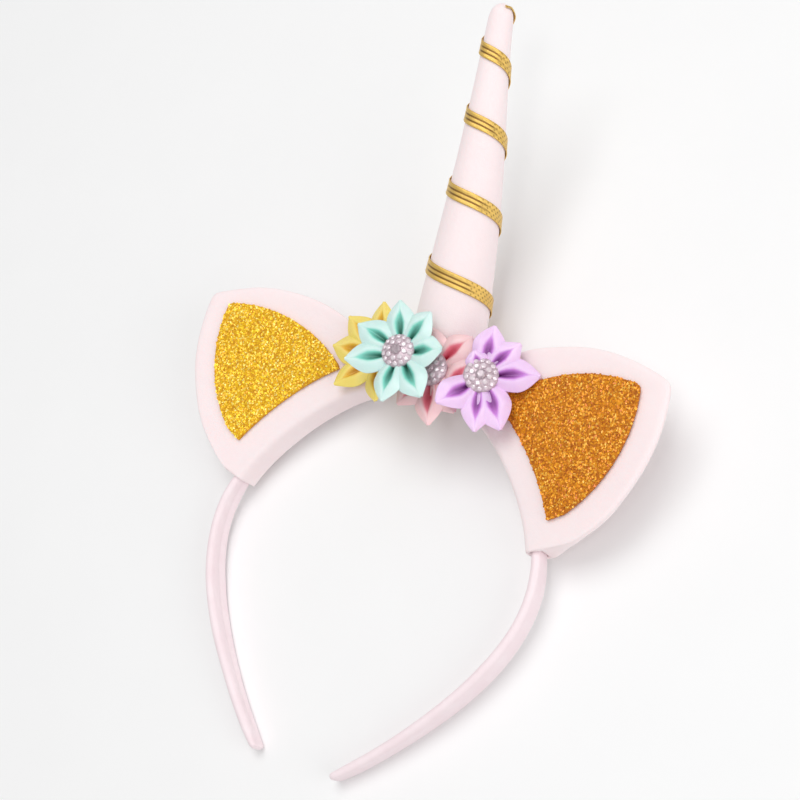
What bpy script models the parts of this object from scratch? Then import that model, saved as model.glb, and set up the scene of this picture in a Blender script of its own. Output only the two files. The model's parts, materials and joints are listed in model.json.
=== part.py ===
"""Unicorn horn headband, for Blender 4.5.

A covered hair band carries two felt ears with glitter panels, a stuffed felt horn wound
with a metallic ribbon, and four folded-ribbon flowers, each with a cluster of cut stones.

Sizes are in millimetres and become metres when a mesh is made. Every piece is modelled
the way the headband is worn: +X is the wearer's left, -Y the front and +Z up, and the
origin is the middle of the band at the crown. An empty then lays the headband on its
back, flowers up, on the plane z = 0.
"""

from math import cos, exp, log, pi, radians, sin, sqrt

import bmesh
import bpy
from mathutils import Matrix, Vector

MM = 0.001
GAP = 0.3

# Hair band: half length along its middle, section, and how sharply it bends
BAND_HALF_LENGTH = 182.4
BAND_THICKNESS = 3.0
BAND_WIDTH_CROWN = 8.0
BAND_STEP = 6.0
BAND_TIP_ROUNDING = 0.75
BAND_TIP_EXTRA = 0.35
# distance from the crown (mm), width (mm): its cover bulges below the ears
BAND_WIDTHS = (
    (0.0, BAND_WIDTH_CROWN),
    (81.0, BAND_WIDTH_CROWN),
    (88.0, 9.0),
    (104.0, 9.3),
    (120.0, 10.4),
    (138.0, 10.0),
    (156.0, 8.4),
    (182.4, 7.2),
)
# distance from the crown (mm), bend (1/m)
BAND_BEND = (
    (0.0, 25.5),
    (30.4, 13.3),
    (60.8, 9.2),
    (91.2, 27.2),
    (121.6, 10.8),
    (152.0, 4.0),
    (182.4, 6.9),
)

# distances from the crown (mm) at which the left leg touches what the headband lies on
RESTING_PLACES = (140.0, 180.9)

# Felt ear: a sleeve round the band that runs out into a leaf between two round edges
FELT = 1.5
EAR_START = 19.5
EAR_END_LEFT = 82.0
EAR_END_RIGHT = 79.8
EAR_SECTIONS = 22
EAR_LEAN = 0.18
EAR_EDGE = 3.0
EAR_EDGE_BEVEL = 0.35
EAR_TIP_SOFTNESS = 1.3
SLEEVE_TAPER_END = 16.0
SLEEVE_LEAST_WALL = 1.6
# shares of the leaf, from the sleeve to its edge, at which the section has a corner
EAR_LEAF_SHARES = (0.0, 0.3, 0.65)
# the sleeve's underside: share of its depth, distance in from its side (mm)
SLEEVE_UNDERSIDE = ((0.0, 0.0), (0.8, 1.2), (1.0, 3.4))
# centre X, centre Z, radius of the round edge
EAR_TOP_EDGE = (60.2, -48.5, 67.5)
EAR_OUTER_EDGE = (33.5, 0.85, 57.8)

# Glitter panel on the front of each ear
GLITTER = 1.0
GLITTER_INNER = 6.5
GLITTER_LEAST_WIDTH = 1.5
GLITTER_SECTIONS = 18
GLITTER_TOP_EDGE = (69.0, -47.0, 57.5)
GLITTER_OUTER_EDGE = (33.5, 0.85, 48.5)

# Horn: leans forward, and sits on the crown over the band
HORN_BASE_X = 4.3
HORN_BASE_Y = 0.0
HORN_LENGTH = 126.4
HORN_LEAN = 19.5
HORN_BOW = 1.2
HORN_SIDES = 20
HORN_SHARP_ANGLE = 60.0
HORN_BASE_SHARES = (0.3, 0.65, 1.0)
HORN_SEAT_GAP = 0.4
HORN_SEAT_BLEND = 16.0
HORN_SEAT_FLATNESS = 0.82
# distance up the axis (mm), radius (mm)
HORN_TAPER = (
    (0.0, 13.8),
    (11.5, 13.4),
    (27.6, 12.2),
    (54.6, 10.1),
    (81.6, 7.6),
    (103.6, 5.6),
    (115.6, 4.8),
    (121.4, 4.4),
    (124.4, 3.4),
    (125.8, 1.9),
)
# more heights (mm) at which the horn has a ring of corners
HORN_EXTRA_RINGS = (4.0, 8.0, 16.0, 20.0, 34.0, 44.0, 68.0, 93.0)

# Metallic ribbon round the horn: width, thickness, and the rule of its climb
RIBBON_WIDTH = 4.8
RIBBON_THICKNESS = 0.6
RIBBON_START = 11.6
RIBBON_CLIMB = 29.6
RIBBON_SLOWING = 1.05
RIBBON_WAVE = 1.6
RIBBON_TURNS = 4.45
RIBBON_STEPS_PER_TURN = 20
RIBBON_STAND_OFF = 0.45
RIBBON_BELOW_TIP = 1.5

# Folded-ribbon flowers
PETAL_WIDTH = 9.6
PETAL_INNER = 2.6
PETAL_THICKNESS = 1.1
PETAL_LAP = 0.13
PETAL_ACROSS = 4
CORE_RADIUS = 5.2
CORE_TOP = 2.2
CORE_SIDES = 14
# share of the petal's length, share of its half width, height of its side walls (mm)
PETAL_STATIONS = (
    (0.00, 0.34, 0.2),
    (0.24, 0.64, 0.7),
    (0.52, 1.00, 2.6),
    (0.80, 0.76, 1.8),
    (1.00, 0.00, 0.0),
)

# Stone cluster: a setting with a ring-on-ring pattern of cut stones
CLUSTER_SEAT = 3.3
CLUSTER_RADIUS = 5.8
CLUSTER_RIM = 0.8
CLUSTER_CROWN = 1.3
CLUSTER_SIDES = 16
# the dome's shoulder, as a share of the radius and of the crown's height
CLUSTER_SHOULDER = (0.5, 0.75)
# a cut stone: sides, girdle and table as shares of its radius, depth in the setting (mm)
STONE_SIDES = 8
STONE_GIRDLE = 1.1
STONE_TABLE = 0.6
STONE_ROOT = 0.8
STONE_SHARP_ANGLE = 5.0
# number of stones, distance from the middle, stone radius, stone height (mm)
CLUSTER_STONES = (
    (1, 0.0, 1.9, 1.2),
    (6, 3.2, 1.1, 1.0),
    (9, 4.8, 1.05, 0.9),
)

# middle of the flower's back (mm), turn to the left and up (deg), depth of the core
# behind it (mm), and each petal's angle (deg), length (mm) and rise (deg)
FLOWERS = {
    "yellow": {
        "centre": (-16.2, -8.0, 3.2), "turn": (6.0, 0.0), "core": 0.9,
        "petals": (
            (98, 18.5, 16), (142, 19.0, 14), (181, 18.5, 12), (242, 17.5, 12),
            (292, 19.0, 12), (326, 14.0, 14), (30, 9.0, 12),
        ),
    },
    "pink": {
        "centre": (9.2, -13.0, 0.9), "turn": (0.0, -6.0), "core": 0.4,
        "petals": (
            (49, 16.5, 8), (4, 10.5, 2), (313, 18.0, 6), (284, 19.0, 10),
            (240, 16.5, 12), (170, 8.5, 12), (105, 14.0, 12),
        ),
    },
    "mint": {
        "centre": (-1.0, -20.2, 2.3), "turn": (-4.0, 0.0), "core": 1.0,
        "petals": (
            (158, 18.0, 12), (104, 17.0, 12), (62, 17.0, 12), (10, 16.8, 10),
            (315, 20.0, 10), (273, 18.5, 12), (210, 18.5, 12),
        ),
    },
    "lilac": {
        "centre": (26.9, -14.0, 1.6), "turn": (-22.0, 0.0), "core": 4.0,
        "petals": (
            (93, 17.0, 12), (62, 16.5, 12), (21, 19.0, 12), (313, 19.5, 12),
            (280, 19.0, 12), (239, 17.0, 14), (124, 9.0, 26),
        ),
    },
}

# red, green, blue, roughness, metallic
COLOURS = {
    "felt": (0.93, 0.83, 0.83, 0.95, 0.0),
    "band_cover": (0.93, 0.82, 0.83, 0.7, 0.0),
    "glitter_yellow": (0.83, 0.58, 0.07, 0.35, 0.6),
    "glitter_orange": (0.80, 0.43, 0.05, 0.35, 0.6),
    "metallic_ribbon": (0.83, 0.64, 0.27, 0.3, 0.9),
    "satin_yellow": (0.96, 0.80, 0.24, 0.4, 0.0),
    "satin_pink": (0.95, 0.55, 0.62, 0.4, 0.0),
    "satin_mint": (0.55, 0.88, 0.80, 0.4, 0.0),
    "satin_lilac": (0.80, 0.58, 0.88, 0.4, 0.0),
    "stones": (0.86, 0.84, 0.86, 0.12, 0.8),
}


def table_value(table, x):
    """Straight-line reading of a table of (x, value) rows."""
    if x <= table[0][0]:
        return table[0][1]
    for (x0, y0), (x1, y1) in zip(table, table[1:]):
        if x <= x1:
            return y0 + (y1 - y0) * (x - x0) / (x1 - x0)
    return table[-1][1]


def smooth_step(low, high, x):
    t = min(max((x - low) / (high - low), 0.0), 1.0)
    return t * t * (3.0 - 2.0 * t)


class BandLine:
    """The band's middle line, followed from the crown by its bend; the left side mirrors it."""

    STEP = 0.2

    def __init__(self):
        x = z = heading = distance = 0.0
        self.stations = [(x, z, heading)]
        while distance < BAND_HALF_LENGTH + 5.0:
            bend = table_value(BAND_BEND, distance + self.STEP / 2) * MM
            x += self.STEP * cos(heading + bend * self.STEP / 2)
            z -= self.STEP * sin(heading + bend * self.STEP / 2)
            heading += bend * self.STEP
            distance += self.STEP
            self.stations.append((x, z, heading))

    def at(self, s):
        """Position and downward heading at the distance s, negative on the left side."""
        index = min(abs(s) / self.STEP, len(self.stations) - 1.001)
        first = int(index)
        share = index - first
        x, z, heading = (
            a + (b - a) * share
            for a, b in zip(self.stations[first], self.stations[first + 1])
        )
        side = -1.0 if s < 0 else 1.0
        return side * x, z, side * heading

    def place(self, s, out, y):
        """A point that lies the given way out of the band's middle line."""
        x, z, heading = self.at(s)
        return Vector((x + out * sin(heading), y, z + out * cos(heading)))


BAND_LINE = BandLine()


def material(name):
    red, green, blue, roughness, metallic = COLOURS[name]
    found = bpy.data.materials.get(name) or bpy.data.materials.new(name)
    found.use_nodes = True
    shader = found.node_tree.nodes["Principled BSDF"]
    shader.inputs["Base Color"].default_value = (red, green, blue, 1.0)
    shader.inputs["Roughness"].default_value = roughness
    shader.inputs["Metallic"].default_value = metallic
    found.diffuse_color = (red, green, blue, 1.0)
    return found


def skin(bm, rings):
    """Join closed rings of equal length by quads, and return the rings' vertices."""
    made = [[bm.verts.new(point) for point in ring] for ring in rings]
    for lower, upper in zip(made, made[1:]):
        for i in range(len(lower)):
            j = (i + 1) % len(lower)
            bm.faces.new((lower[i], lower[j], upper[j], upper[i]))
    return made


def make_object(name, bm, colour, parent, sharp=35.0):
    """Turn a mesh in millimetres into an object in metres."""
    bmesh.ops.recalc_face_normals(bm, faces=bm.faces)
    bmesh.ops.scale(bm, vec=(MM, MM, MM), verts=bm.verts)
    mesh = bpy.data.meshes.new(name)
    bm.to_mesh(mesh)
    bm.free()
    mesh.materials.append(material(colour))
    mesh.shade_smooth()
    mesh.set_sharp_from_angle(angle=radians(sharp))
    made = bpy.data.objects.new(name, mesh)
    bpy.context.scene.collection.objects.link(made)
    made.parent = parent
    return made


def stadium(half_width, half_thickness, round_steps):
    """A flat oval as (out, y) pairs: straight faces and two round edges."""
    flat = half_width - half_thickness
    points = []
    for side in (-1.0, 1.0):
        for i in range(round_steps + 1):
            angle = pi * i / round_steps
            points.append((-side * half_thickness * cos(angle), side * (flat + half_thickness * sin(angle))))
    return points


def make_band(parent):
    """The band: a flat oval swept along the middle line, with rounded tips."""
    bm = bmesh.new()
    half_thickness = BAND_THICKNESS / 2
    count = round(2 * BAND_HALF_LENGTH / BAND_STEP)
    stations = [-BAND_HALF_LENGTH + 2 * BAND_HALF_LENGTH * i / count for i in range(count + 1)]
    tip = half_thickness
    extra = BAND_TIP_EXTRA * tip
    stations[0:1] = [stations[0], stations[0] + extra, stations[0] + tip]
    stations[-1:] = [stations[-1] - tip, stations[-1] - extra, stations[-1]]
    rings = []
    for s in stations:
        width = table_value(BAND_WIDTHS, abs(s))
        from_tip = min(BAND_HALF_LENGTH - abs(s), tip) / tip
        shrink = BAND_TIP_ROUNDING * tip * (1.0 - sqrt(1.0 - (1.0 - from_tip) ** 2))
        oval = stadium(width / 2 - shrink, half_thickness - shrink, 3)
        rings.append([BAND_LINE.place(s, out, y) for out, y in oval])
    made = skin(bm, rings)
    bm.faces.new(made[0])
    bm.faces.new(made[-1])
    return make_object("band", bm, "band_cover", parent)


def reach(s, edges):
    """How far out of the middle line a ray at s meets the nearest of two round edges."""
    x, z, heading = BAND_LINE.at(abs(s))
    distances = []
    for centre_x, centre_z, radius in edges:
        away = (x - centre_x) * sin(heading) + (z - centre_z) * cos(heading)
        square = (x - centre_x) ** 2 + (z - centre_z) ** 2 - radius ** 2
        distances.append(-away + sqrt(max(away ** 2 - square, 0.0)))
    first, second = distances
    nearer = min(first, second)
    soft = EAR_TIP_SOFTNESS
    return nearer - soft * log(1.0 + exp(-abs(first - second) / soft))


def ear_front(out):
    """Y of the ear's front face: level with the sleeve, then leaning forward."""
    sleeve = BAND_WIDTH_CROWN / 2 + GAP + FELT
    return -sleeve - EAR_LEAN * max(out, 0.0)


def ear_back(out):
    """Y of the ear's back face, which closes up to the front face past the sleeve."""
    sleeve = BAND_WIDTH_CROWN / 2 + GAP + FELT
    closed = smooth_step(1.0, SLEEVE_TAPER_END, out)
    return sleeve + (ear_front(out) + EAR_EDGE - sleeve) * closed


def ear_section(edge):
    """The felt's outline across the band, as (out, y) pairs, for an ear that reaches edge."""
    inner = BAND_THICKNESS / 2 + GAP + FELT
    width = BAND_WIDTH_CROWN / 2 + GAP + FELT
    blade = [inner + (edge - inner) * share for share in EAR_LEAF_SHARES]
    front = [(out, ear_front(out)) for out in reversed(blade)]
    back = [(out, ear_back(out)) for out in blade]
    bevel = edge - EAR_EDGE_BEVEL * EAR_EDGE
    front.insert(0, (bevel, ear_front(bevel)))
    back.append((bevel, ear_back(bevel)))
    under = [(-share * inner, inset - width) for share, inset in SLEEVE_UNDERSIDE]
    under += [(out, -y) for out, y in reversed(under)]
    rim = [(edge, (ear_front(edge) + ear_back(edge)) / 2)]
    return front + under + back + rim


def make_ear(name, side, parent):
    """A felt ear: the sleeve round the band and the leaf that stands out of it, one solid."""
    bm = bmesh.new()
    inner = BAND_THICKNESS / 2 + GAP + FELT
    end = EAR_END_LEFT if side < 0 else EAR_END_RIGHT
    outer_rings, channel_rings = [], []
    for i in range(EAR_SECTIONS + 1):
        s = EAR_START + (end - EAR_START) * i / EAR_SECTIONS
        edge = max(reach(s, (EAR_TOP_EDGE, EAR_OUTER_EDGE)), inner + SLEEVE_LEAST_WALL)
        outer_rings.append([BAND_LINE.place(side * s, out, y) for out, y in ear_section(edge)])
        channel = stadium(BAND_WIDTH_CROWN / 2 + GAP, BAND_THICKNESS / 2 + GAP, 3)
        channel_rings.append([BAND_LINE.place(side * s, out, y) for out, y in channel])
    outer = skin(bm, outer_rings)
    channel = skin(bm, channel_rings)
    for end in (0, -1):
        edges = []
        for ring in (outer[end], channel[end]):
            edges += [bm.edges.get((ring[i - 1], ring[i])) for i in range(len(ring))]
        bmesh.ops.triangle_fill(bm, edges=edges, use_beauty=True)
    return make_object(name, bm, "felt", parent)


def make_glitter(name, side, colour, parent):
    """The glitter panel: a thin sheet just in front of the ear's face."""
    bm = bmesh.new()
    edges = (GLITTER_TOP_EDGE, GLITTER_OUTER_EDGE)
    least = GLITTER_INNER + GLITTER_LEAST_WIDTH
    span = [s for s in range(int(EAR_START), int(EAR_END_RIGHT)) if reach(s, edges) > least]
    rings = []
    for i in range(GLITTER_SECTIONS + 1):
        s = span[0] + (span[-1] - span[0]) * i / GLITTER_SECTIONS
        corners = []
        for out in (GLITTER_INNER, reach(s, edges)):
            corners.append((out, ear_front(out) - GAP))
        corners += [(out, y - GLITTER) for out, y in reversed(corners)]
        rings.append([BAND_LINE.place(side * s, out, y) for out, y in corners])
    made = skin(bm, rings)
    bm.faces.new(made[0])
    bm.faces.new(made[-1])
    return make_object(name, bm, colour, parent)


def horn_frame(height):
    """The horn's middle, its side direction and its back direction at a height on its axis."""
    lean = radians(HORN_LEAN)
    bow = HORN_BOW * sin(pi * min(height / HORN_LENGTH, 1.0)) ** 2
    seat = BAND_THICKNESS / 2 + GAP
    base = Vector((HORN_BASE_X, HORN_BASE_Y, seat))
    middle = base + height * Vector((0.0, -sin(lean), cos(lean))) + Vector((bow, 0.0, 0.0))
    turned = lean * smooth_step(0.0, HORN_SEAT_BLEND, height)
    return middle, Vector((1.0, 0.0, 0.0)), Vector((0.0, cos(turned), sin(turned)))


def horn_point(height, angle, stand_off=0.0):
    """A point on the horn's skin, or the given distance off it."""
    middle, side, back = horn_frame(height)
    radius = table_value(HORN_TAPER, height) + stand_off
    depth = HORN_SEAT_FLATNESS + (1.0 - HORN_SEAT_FLATNESS) * smooth_step(0.0, 2 * HORN_SEAT_BLEND, height)
    return middle + radius * (cos(angle) * side + depth * sin(angle) * back)


def on_saddle(point):
    """Drop a point of the horn's base to just above the band's top."""
    heights = [(BAND_LINE.at(s)[0], BAND_LINE.at(s)[1]) for s in range(-30, 31)]
    seat = BAND_THICKNESS / 2 + HORN_SEAT_GAP
    return Vector((point.x, point.y, table_value(heights, point.x) + seat))


def make_horn(parent):
    """The stuffed horn: round sections that narrow to a blunt tip, on a saddle-shaped base."""
    bm = bmesh.new()
    angles = [2 * pi * i / HORN_SIDES for i in range(HORN_SIDES)]
    base_radius = HORN_TAPER[0][1]
    rings = []
    for share in HORN_BASE_SHARES:
        stand_off = base_radius * (share - 1.0)
        rings.append([on_saddle(horn_point(0.0, angle, stand_off)) for angle in angles])
    heights = {height for height, _ in HORN_TAPER if height > 0} | set(HORN_EXTRA_RINGS)
    for height in sorted(heights):
        rings.append([horn_point(height, angle) for angle in angles])
    made = skin(bm, rings)
    bm.faces.new(made[0])
    top = bm.verts.new(horn_frame(HORN_LENGTH)[0])
    for i in range(HORN_SIDES):
        bm.faces.new((made[-1][i - 1], made[-1][i], top))
    return make_object("horn", bm, "felt", parent, HORN_SHARP_ANGLE)


def ribbon_height(turns):
    """Height of the ribbon's middle: each turn climbs less, and the back climbs more."""
    wave = RIBBON_WAVE * (1.0 - cos(2 * pi * turns))
    return RIBBON_START + RIBBON_CLIMB * turns - RIBBON_SLOWING * turns ** 2 + wave


def make_ribbon(parent):
    """The ribbon winds from the horn's left side round its back, and up to the tip."""
    bm = bmesh.new()
    steps = round(RIBBON_TURNS * RIBBON_STEPS_PER_TURN)
    rings = []
    for i in range(steps + 1):
        turns = i / RIBBON_STEPS_PER_TURN
        middle = ribbon_height(turns)
        angle = pi - 2 * pi * turns
        low = middle - RIBBON_WIDTH / 2
        high = min(middle + RIBBON_WIDTH / 2, HORN_LENGTH - RIBBON_BELOW_TIP)
        low = min(low, high - RIBBON_BELOW_TIP)
        inside, outside = RIBBON_STAND_OFF, RIBBON_STAND_OFF + RIBBON_THICKNESS
        corners = ((low, inside), (high, inside), (high, outside), (low, outside))
        rings.append([horn_point(height, angle, off) for height, off in corners])
    made = skin(bm, rings)
    bm.faces.new(made[0])
    bm.faces.new(made[-1])
    return make_object("horn_ribbon", bm, "metallic_ribbon", parent)


def flower_matrix(spec):
    """Local X to the right, Y up and Z out of the flower, placed at the flower's back."""
    left, up = (radians(angle) for angle in spec["turn"])
    outward = Vector((-sin(left) * cos(up), -cos(left) * cos(up), sin(up)))
    right = Vector((0.0, 0.0, 1.0)).cross(outward).normalized()
    upward = outward.cross(right)
    turn = Matrix((right, upward, outward)).transposed().to_4x4()
    return Matrix.Translation(Vector(spec["centre"])) @ turn


def petal_rings(angle, length, rise, lap):
    """Cross sections of one petal, from its root to near its point."""
    rings = []
    for share, width, wall in PETAL_STATIONS[:-1]:
        along = share * (length - PETAL_INNER)
        top, bottom = [], []
        for i in range(PETAL_ACROSS + 1):
            v = 2.0 * i / PETAL_ACROSS - 1.0
            across = PETAL_WIDTH / 2 * width * sin(v * pi / 2)
            height = along * sin(rise) + wall * v ** 2 + lap
            top.append((along, across, height))
            bottom.append((along, across, height - PETAL_THICKNESS))
        rings.append([turned_petal_point(point, angle, rise) for point in top + bottom[::-1]])
    return rings


def turned_petal_point(point, angle, rise):
    along, across, height = point
    out = PETAL_INNER + along * cos(rise)
    return Vector((
        out * cos(angle) - across * sin(angle),
        out * sin(angle) + across * cos(angle),
        height + PETAL_THICKNESS,
    ))


def add_petal(bm, angle, length, rise, lap):
    """One cupped, pointed petal as a closed shell, raised a little by its lap."""
    made = skin(bm, petal_rings(angle, length, rise, lap))
    bm.faces.new(made[0])
    tip_along = length - PETAL_INNER
    tip_height = tip_along * sin(rise) + lap - PETAL_THICKNESS / 2
    tip = bm.verts.new(turned_petal_point((tip_along, 0.0, tip_height), angle, rise))
    last = made[-1]
    for i in range(len(last)):
        bm.faces.new((last[i - 1], last[i], tip))


def add_disc(bm, radius, low, high, sides, dome=0.0):
    """A round plate with a vertical edge, its top raised by dome in the middle."""
    angles = [2 * pi * i / sides for i in range(sides)]
    levels = [(radius, low), (radius, high)]
    if dome:
        inward, upward = CLUSTER_SHOULDER
        levels.append((inward * radius, high + upward * dome))
    rings = [[Vector((r * cos(a), r * sin(a), z)) for a in angles] for r, z in levels]
    made = skin(bm, rings)
    bm.faces.new(made[0])
    bm.faces.new(made[-1])


def add_stone(bm, x, y, low, radius, height):
    """A cut stone: eight crown facets between its girdle and its table."""
    rings = []
    angles = [2 * pi * i / STONE_SIDES for i in range(STONE_SIDES)]
    for share, level in ((STONE_GIRDLE, low - STONE_ROOT), (STONE_TABLE, low + height)):
        ring_radius = share * radius
        rings.append([Vector((x + ring_radius * cos(a), y + ring_radius * sin(a), level)) for a in angles])
    made = skin(bm, rings)
    bm.faces.new(made[0])
    bm.faces.new(made[-1])


def fuse(body, operand):
    """Unite the body's shells with each other and with the operand, which stays a guide."""
    union = body.modifiers.new("fuse", "BOOLEAN")
    union.operation = "UNION"
    union.solver = "EXACT"
    union.use_self = True
    union.object = operand
    operand.hide_render = True
    operand.display_type = "WIRE"


def make_flower(colour_name, parent):
    """A flower: petals fused to a round core."""
    spec = FLOWERS[colour_name]
    place = flower_matrix(spec)
    colour = "satin_" + colour_name
    petals = bmesh.new()
    for i, (angle, length, rise) in enumerate(spec["petals"]):
        add_petal(petals, radians(angle), length, radians(rise), PETAL_LAP * (i % 3))
    bmesh.ops.triangulate(petals, faces=petals.faces)
    bmesh.ops.transform(petals, matrix=place, verts=petals.verts)
    flower = make_object("flower_" + colour_name, petals, colour, parent)
    core = bmesh.new()
    add_disc(core, CORE_RADIUS, -spec["core"], CORE_TOP, CORE_SIDES)
    bmesh.ops.transform(core, matrix=place, verts=core.verts)
    fuse(flower, make_object("core_guide_" + colour_name, core, colour, parent))
    return flower


def make_cluster(colour_name, parent):
    """The flower's centre: a low domed setting with its stones fused to it."""
    place = flower_matrix(FLOWERS[colour_name])
    seat_top = CLUSTER_SEAT + CLUSTER_RIM
    stones = bmesh.new()
    for count, distance, radius, height in CLUSTER_STONES:
        low = seat_top + CLUSTER_CROWN * (1.0 - (distance / CLUSTER_RADIUS) ** 2)
        for i in range(count):
            angle = 2 * pi * i / count
            add_stone(stones, distance * cos(angle), distance * sin(angle), low, radius, height)
    bmesh.ops.transform(stones, matrix=place, verts=stones.verts)
    cluster = make_object("stones_" + colour_name, stones, "stones", parent, STONE_SHARP_ANGLE)
    setting = bmesh.new()
    add_disc(setting, CLUSTER_RADIUS, CLUSTER_SEAT, seat_top, CLUSTER_SIDES, dome=CLUSTER_CROWN)
    bmesh.ops.transform(setting, matrix=place, verts=setting.verts)
    fuse(cluster, make_object("setting_guide_" + colour_name, setting, "stones", parent))
    return cluster


def world_box(pieces):
    """Lowest and highest corners of the pieces as they are evaluated."""
    depsgraph = bpy.context.evaluated_depsgraph_get()
    points = []
    for piece in pieces:
        shown = piece.evaluated_get(depsgraph)
        points += [shown.matrix_world @ vertex.co for vertex in shown.data.vertices]
    low = Vector([min(point[axis] for point in points) for axis in range(3)])
    high = Vector([max(point[axis] for point in points) for axis in range(3)])
    return low, high


def lay_on_its_back(pose, pieces):
    """Rest the headband on the horn's base and on two places of the left leg, at z = 0."""
    horn = on_saddle(horn_point(0.0, pi / 2))
    upper, lower = (BAND_LINE.place(-s, 0.0, table_value(BAND_WIDTHS, s) / 2) for s in RESTING_PLACES)
    upward = (upper - horn).cross(lower - horn).normalized()
    if upward.y > 0:
        upward.negate()
    crown = Vector((0.0, 0.0, 1.0))
    towards_horn = (crown - crown.dot(upward) * upward).normalized()
    pose.rotation_euler = Matrix((towards_horn.cross(upward), towards_horn, upward)).to_euler()
    bpy.context.view_layer.update()
    low, high = world_box(pieces)
    middle = (low + high) / 2
    pose.location = (-middle.x, -middle.y, -low.z)
    bpy.context.view_layer.update()


def build():
    for old in list(bpy.data.objects):
        bpy.data.objects.remove(old, do_unlink=True)
    pose = bpy.data.objects.new("lying_pose", None)
    bpy.context.scene.collection.objects.link(pose)
    pieces = [make_band(pose)]
    for side, name, colour in ((-1.0, "left", "glitter_yellow"), (1.0, "right", "glitter_orange")):
        pieces.append(make_ear("ear_felt_" + name, side, pose))
        pieces.append(make_glitter("ear_glitter_" + name, side, colour, pose))
    pieces.append(make_horn(pose))
    pieces.append(make_ribbon(pose))
    for colour_name in FLOWERS:
        pieces.append(make_flower(colour_name, pose))
        pieces.append(make_cluster(colour_name, pose))
    lay_on_its_back(pose, pieces)


build()
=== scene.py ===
# %% [markdown]
# # A felt unicorn headband
#
# The object is a costume headband. A covered hair band carries two felt ears with glitter
# panels, a stuffed felt horn wound with gold ribbon, and four flowers folded from satin
# ribbon, each with a cluster of cut stones in its middle. It lies on its back.
#
# The solids of the construction model are loaded first. They fix every size and place.
# Each piece below is then made finer, on the same named sizes, and takes a solid's place.

# %% Load the frame
import json
from math import cos, exp, log, pi, radians, sin, sqrt
from typing import NamedTuple

import bmesh
import bpy
import numpy as np
from mathutils import Matrix, Vector


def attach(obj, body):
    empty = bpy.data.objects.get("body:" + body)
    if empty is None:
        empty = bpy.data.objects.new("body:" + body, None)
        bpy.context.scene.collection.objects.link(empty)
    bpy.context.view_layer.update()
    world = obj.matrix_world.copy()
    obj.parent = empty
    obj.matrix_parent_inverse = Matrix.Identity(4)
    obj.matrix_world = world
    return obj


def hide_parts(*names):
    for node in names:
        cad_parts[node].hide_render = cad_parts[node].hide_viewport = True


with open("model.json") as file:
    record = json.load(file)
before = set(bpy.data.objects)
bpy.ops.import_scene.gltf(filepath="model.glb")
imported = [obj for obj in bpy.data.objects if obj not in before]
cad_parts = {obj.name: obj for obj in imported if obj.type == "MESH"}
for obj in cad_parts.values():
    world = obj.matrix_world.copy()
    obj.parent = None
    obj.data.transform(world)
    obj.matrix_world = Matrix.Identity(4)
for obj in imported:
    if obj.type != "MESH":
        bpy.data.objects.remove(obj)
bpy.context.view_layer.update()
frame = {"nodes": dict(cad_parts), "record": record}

# %% [markdown]
# ## Measure as it is worn
#
# A headband is easiest to describe the way it is worn: X to the side, -Y the front, Z up,
# with the middle of the band's crown as the origin, in millimetres. The frame holds what is
# needed to get there. The two ears mirror each other, so the line between their middles
# is the worn X direction, and the record's head seat says where the crown is and which way
# is down. One matrix then carries every worn point to its place on the floor.

# %% Worn frame
MM = 0.001
BAND_THICKNESS = 3.0


def surface_centre(node):
    """The area-weighted middle of a solid's faces."""
    faces = frame["nodes"][node].data.polygons
    total = sum(face.area for face in faces)
    return sum((face.area * face.center for face in faces), Vector()) / total


seat = frame["record"]["mounts"][0]
to_right = (surface_centre("ear_felt_right") - surface_centre("ear_felt_left")).normalized()
upward = -Vector(seat["axis"])
upward = (upward - upward.dot(to_right) * to_right).normalized()
to_back = upward.cross(to_right)
crown = Vector(seat["pos_m"]) + upward * BAND_THICKNESS / 2 * MM
TURN = Matrix((to_right, to_back, upward)).transposed().to_4x4()
WORN = Matrix.Translation(crown) @ TURN @ Matrix.Scale(MM, 4)
print("crown of the band (mm):", [round(1000 * v, 1) for v in WORN.translation])

# %% [markdown]
# ## Camera
#
# The camera stands where the photographer stood, seen from the headband: in front, to the
# right and a little below the crown, rolled to one side. Three named values say that.
# A long lens keeps the ears and the horn in the photograph's proportions.

# %% Camera
CAMERA_PLACE = Vector((262.77, -424.19, -104.65))
CAMERA_TARGET = Vector((-7.1, -2.55, -8.87))
CAMERA_ROLL = 19.6
CAMERA_LENS = 67.5

sight = (CAMERA_PLACE - CAMERA_TARGET).normalized()
level = Vector((0.0, 0.0, 1.0)).cross(sight).normalized()
level = Matrix.Rotation(radians(CAMERA_ROLL), 3, sight) @ level
look = Matrix((level, sight.cross(level), sight)).transposed().to_4x4()
camera_data = bpy.data.cameras.new("camera")
camera_data.lens = CAMERA_LENS
camera_data.clip_start = 0.01
camera = bpy.data.objects.new("camera", camera_data)
camera.matrix_world = Matrix.Translation(WORN @ CAMERA_PLACE) @ TURN @ look
bpy.context.scene.collection.objects.link(camera)
bpy.context.scene.camera = camera
print("camera above the floor (mm):", round(1000 * camera.location.z))

# %% [markdown]
# ## Sums in a material
#
# A material is a graph of nodes, and sums in it are Math nodes, which are slow to write one
# by one. The small class below wraps a socket, so that an ordinary Python expression such as
# `1 - mask * 0.4` adds those nodes. The second class is a material being made, with one
# method that adds any node. Colours go through a Mix node, because sums turn them grey.

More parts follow.
